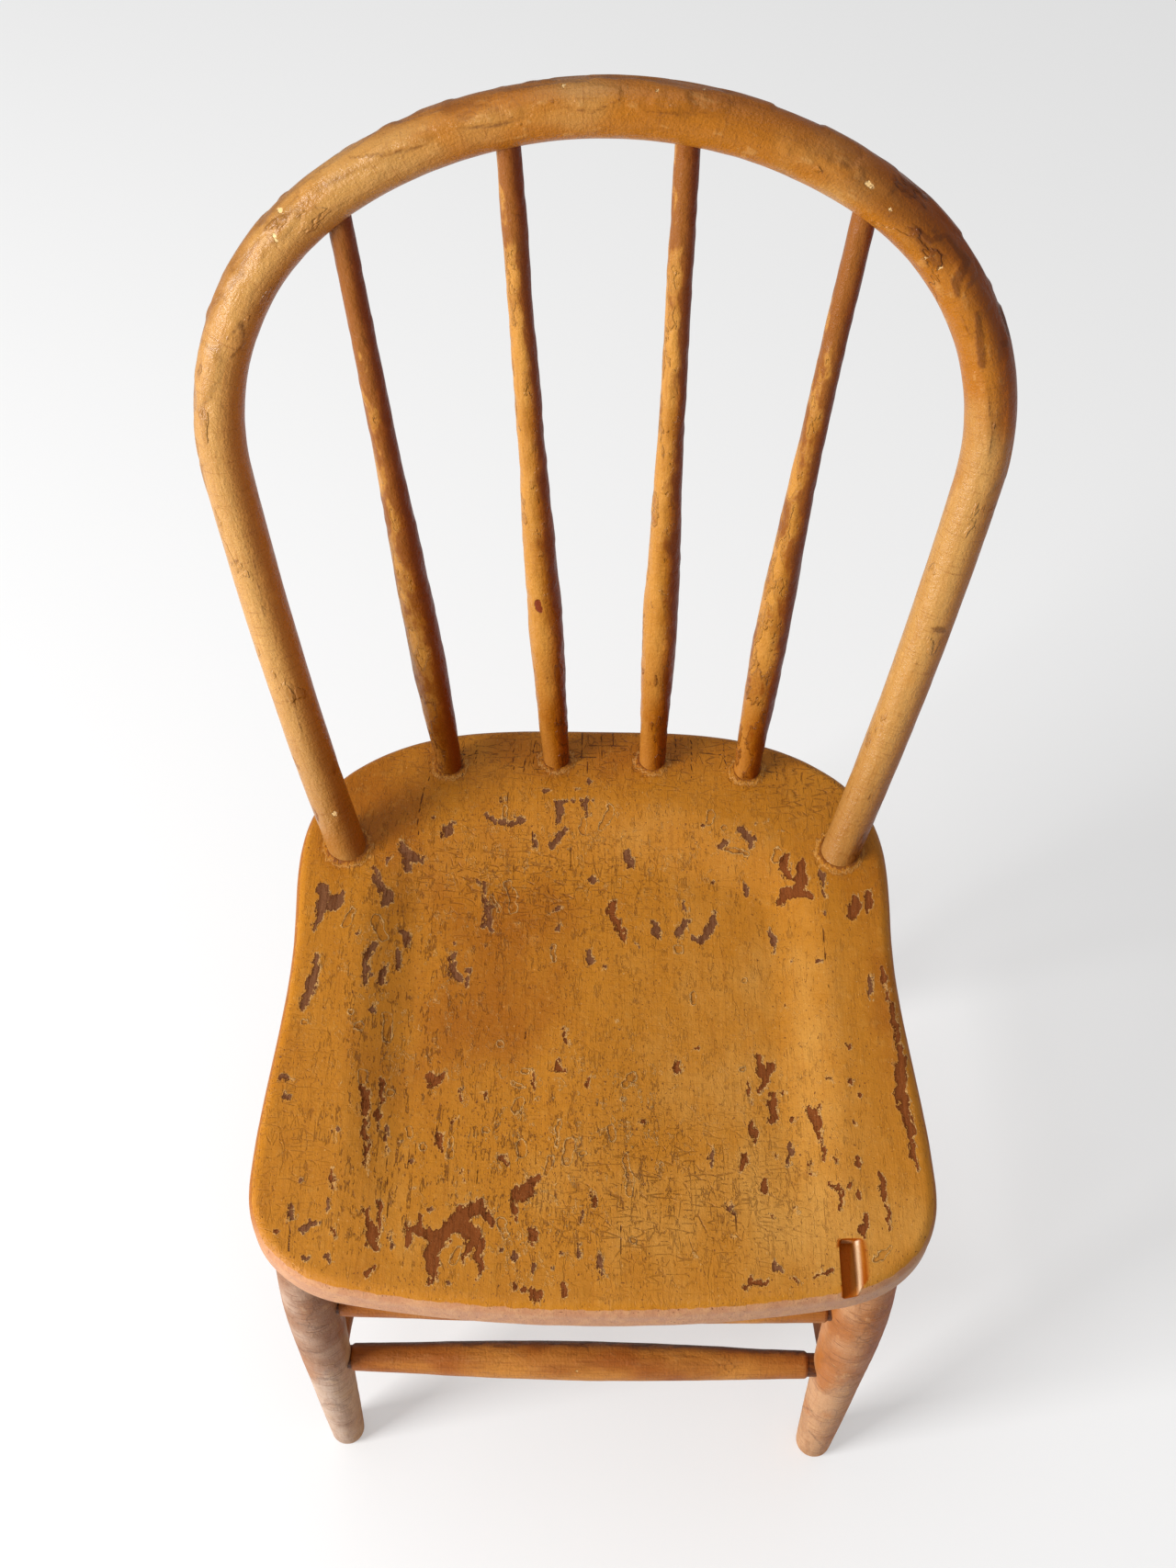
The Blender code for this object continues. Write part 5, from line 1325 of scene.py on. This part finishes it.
def seat_paint():
    """Ochre enamel over wood grain, crackled across the grain, chipped to two older coats.

    Semi-gloss where it is whole and matt where it is bare. Each chip's edge is a contour of its
    distance field, frayed by noise, with a painted highlight along its rim, strongest on its right,
    and a painted shadow inside its left.
    """
    material, put, shader = new_material("ochre enamel, brushed on wood, crackled and chipped")
    place = put("place")
    told = {name: put("attribute", attribute_name=name) for name in SEAT_SHARES}
    on_top, lee, pocket, lip, polish_and_highlight = (told[name] for name in ("on_top", "lee", "pocket", "lip", "polish_and_highlight"))
    grain = noise(put, place, 0.9 * MM, 4, 0.65, 4.1, (1, 40, 6))
    drift = noise(put, place, 22 * MM, 3, 0.55, 2.2, (1, 1.6, 1))
    mottle = noise(put, place, 5 * MM, 4, 0.6, 6.3)
    fleck = noise(put, place, 0.55 * MM, 3, 0.65, 8.8, (1, 1.5, 1))
    flake = noise(put, place, 2.0 * MM, 3, 0.62, 3.7, (1, 2.2, 1))
    speck = noise(put, place, 0.85 * MM, 2, 0.5, 1.4, (1, 2.0, 1))
    tone = frayed(put, told["tone"], drift, 1.2)

    # The edge's band, pinkish in front, where the pocket's mouth is left out
    band = put("times", put("range", frayed(put, on_top, mottle, 0.5), 0.90, 0.82), put("minus", 1.0, pocket))
    side = put("mix", put("range", mottle, 0.4, 0.65), BAND_DARK, BAND_LIGHT)
    side = put("mix", put("range", put("y of", place), -0.125, -0.160), SEAT_DEEP, side)
    worn_spots = put("times plus", told["flaky"], 0.035, speck)

    # Hairlines across and along the grain where the paint is crazed, and longer splits and cracks
    broken = noise(put, place, 5.0 * MM, 3, 0.6, 25.1)
    across = crackle(put, place, 4.4 * MM, (3.0, 0.8, 8), 11.3, 0.06)
    along = crackle(put, place, 4.6 * MM, (0.9, 3.2, 8), 21.9, 0.05)
    craze = put("most", put("times", across, put("range", broken, 0.44, 0.60)),
                put("times", along, put("range", broken, 0.52, 0.40)))
    craze = put("times", craze, told["crazing"])
    split = put("times", lines(put, noise(put, place, 4.0 * MM, 4, 0.6, 14.9, (1, 6, 3)), 0.56, 0.030),
                told["splits"])
    split = put("times", split, put("range", mottle, 0.45, 0.55))
    crack = put("times", put("range", told["crack"], -0.05, 0.25, 1, 0), on_top)
    hairs = put("most", put("most", put("times", craze, 0.5), put("times", split, 0.7)), crack)

    # Raised outlines of flakes and chips that were painted over: pale lines along them are painted
    # highlights, and the old chips have painted shade inside their left edges
    flaky = put("times", lines(put, noise(put, place, 4.5 * MM, 3, 0.6, 17.1, (1, 1.7, 1)), 0.62, 0.022),
                told["flaky"])
    old = frayed(put, told["old_chip"], flake, 3.0)
    # Pale outline of each old chip: a painted highlight on its raised rim
    old_rim = put("times", put("times", lines(put, old, 0.0, 0.42), on_top),
                  put("range", mottle, 0.36, 0.56, 0.35, 1))
    # Painted shade inside each old chip's left edge
    old_chip_shade = put("times", lines(put, old, -0.5, 0.45), put("range", lee, 0.3, -0.5))
    old_inside = put("times", put("range", old, -0.5, 0.0, 1, 0), on_top)

    # Open chips, down to a red-brown or a grey-brown coat with the grain showing; a painted highlight
    # along each chip's rim, strongest on its right, and a painted shadow inside its left edge
    ragged = frayed(put, frayed(put, told["peel"], flake, 6.5, 0.49), fleck, 2.2)
    bare = put("times", put("range", ragged, -0.10, 0.04, 1, 0), on_top)
    # Painted highlight along each chip's rim, strongest on its right, whose broken edge faces the light
    rim = put("times", put("times", put("range", ragged, 0.30, 0.85, 1, 0), on_top),
              put("range", lee, -0.6, 0.7, 0.25, 1))
    # Painted shadow inside each chip's left edge
    in_shadow = put("times", put("range", ragged, -0.9, -0.3), put("range", lee, 0.4, -0.5))
    undercoat = coats(put, RED_COAT, (
        (told["grey_coat"], 1, GREY_COAT),
        (put("range", grain, 0.45, 0.7), 0.7, COAT_GRAIN),
        (put("range", fleck, 0.55, 0.75), 0.5, COAT_PALE),
        (in_shadow, 0.75, CRACK_AND_SHADE_DARK)))

    # A ridge of paint round each rod's foot, with painted shade in the crease at the rod and in a line
    # outside the ridge, and a painted highlight along its crest
    around = frayed(put, told["foot"], flake, 8.0)
    crest = lines(put, around, 2.3, 0.8)
    colour = coats(put, SEAT_DEEP, (
        # Broad tones, with the painted light and shade on the hollow's right wall and rim
        (put("range", tone, -0.8, 0.0), 1, SEAT_OCHRE),
        (put("range", tone, 0.0, 0.8), 1, SEAT_PALE),
        (put("range", grain, 0.45, 0.75), 0.30, SEAT_GRAIN),
        (put("range", mottle, 0.52, 0.75), 0.28, SEAT_PALE),
        (band, 1, side),
        (put("range", worn_spots, 0.672, 0.70), 0.8, SPECK),
        (put("range", worn_spots, 0.30, 0.27), 0.45, SPECK_AND_HIGHLIGHT_PALE),
        # Darker in old dents; painted shade in their left edges; painted highlights on rims and flake
        # outlines
        (old_inside, 0.25, SEAT_DEEP), (old_chip_shade, 0.45, CRACK_AND_SHADE_DARK), (old_rim, 0.65, SPECK_AND_HIGHLIGHT_PALE),
        (flaky, 0.5, SPECK_AND_HIGHLIGHT_PALE), (rim, 0.62, SPECK_AND_HIGHLIGHT_PALE), (bare, 1, undercoat), (hairs, 1, CRACK_AND_SHADE_DARK),
        # The pocket's floor and worn lip, and a painted highlight on the lip's crest
        (pocket, 0.92, POCKET_ORANGE), (lip, 0.9, LIP_TAN), (polish_and_highlight, 0.75, LIP_HIGHLIGHT),
        # Painted shade round each rod's foot, and a painted highlight on the ridge's crest
        (lines(put, around, 3.4, 0.9), 0.25, FOOT_RING_SHADE), (crest, 0.22, SPECK_AND_HIGHLIGHT_PALE),
        (put("range", around, 1.5, 0.3), 0.75, FOOT_RING_SHADE)))
    roughness = put("times plus", bare, 0.2, put("range", mottle, 0.3, 0.7, 0.38, 0.50))
    roughness = put("times plus", polish_and_highlight, -0.16, roughness)
    sheen = put("times plus", bare, -0.16, put("times plus", pocket, -0.18, 0.22))
    sheen = put("times plus", polish_and_highlight, 0.6, sheen)
    shader.id_data.links.new(sheen, shader.inputs["Specular IOR Level"])
    finish_material(put, shader, colour, roughness, (
        (grain, 0.12 * MM), (mottle, 0.5 * MM), (fleck, 0.14 * MM), (bare, -0.6 * MM), (rim, 0.2 * MM),
        (hairs, -0.6 * MM), (old_rim, 0.5 * MM), (old_inside, -0.3 * MM), (flaky, 0.4 * MM),
        (crest, 0.2 * MM)))
    return material


# Room

def add_floor():
    """White paper under the chair: the camera sees it nearly white, with the chair's shadow."""
    material, put, shader = new_material("matt white paper")
    shader.inputs["Roughness"].default_value = 1.0
    shader.inputs["Specular IOR Level"].default_value = 0.0
    shader.inputs["Emission Color"].default_value = (1, 1, 1, 1)
    seen = put("camera ray")
    links = shader.id_data.links
    links.new(put("mix", seen, PAPER, PAPER_LIT), shader.inputs["Base Color"])
    links.new(put("times", seen, PAPER_GLOW), shader.inputs["Emission Strength"])
    corners = PAPER_HALF * np.array([[-1, -1, 0], [1, -1, 0], [1, 1, 0], [-1, 1, 0]], dtype=float)
    floor = add_piece("floor", corners, np.array([[0, 1, 2, 3]]), np.empty((0, 3), dtype=int), material)


def add_lamp(name, spot, aim, size, power):
    """A square soft white lamp at spot, facing aim."""
    light = bpy.data.lights.new(name, "AREA")
    light.size = size
    light.energy = power
    lamp = bpy.data.objects.new(name, light)
    lamp.location = spot
    lamp.rotation_euler = (Vector(aim) - Vector(spot)).to_track_quat("-Z", "Y").to_euler()
    bpy.context.scene.collection.objects.link(lamp)


def add_world():
    """Even white light from all round, too weak to wash out the lamps' shadows."""
    world = bpy.data.worlds.new("room")
    world.use_nodes = True
    background = world.node_tree.nodes["Background"]
    background.inputs["Color"].default_value = (1, 1, 1, 1)
    background.inputs["Strength"].default_value = WORLD_STRENGTH
    bpy.context.scene.world = world


def build():
    """The paints, then each group of pieces, then the room and the camera."""
    paints = {kind: rod_paint(look) for kind, look in LOOKS.items()}
    build_hoop(paints["hoop"])
    feet = build_spindles(paints["spindle"])
    build_seat(seat_paint(), feet + hoop_feet())
    build_legs(paints["leg_left"], paints["leg_right"])
    build_stretchers(paints["stretcher"])
    add_floor()
    add_world()
    add_lamp("window", *KEY_LAMP)
    add_lamp("ceiling", *TOP_LAMP)
    add_camera()
    bpy.context.scene.view_settings.view_transform = "Standard"


build()
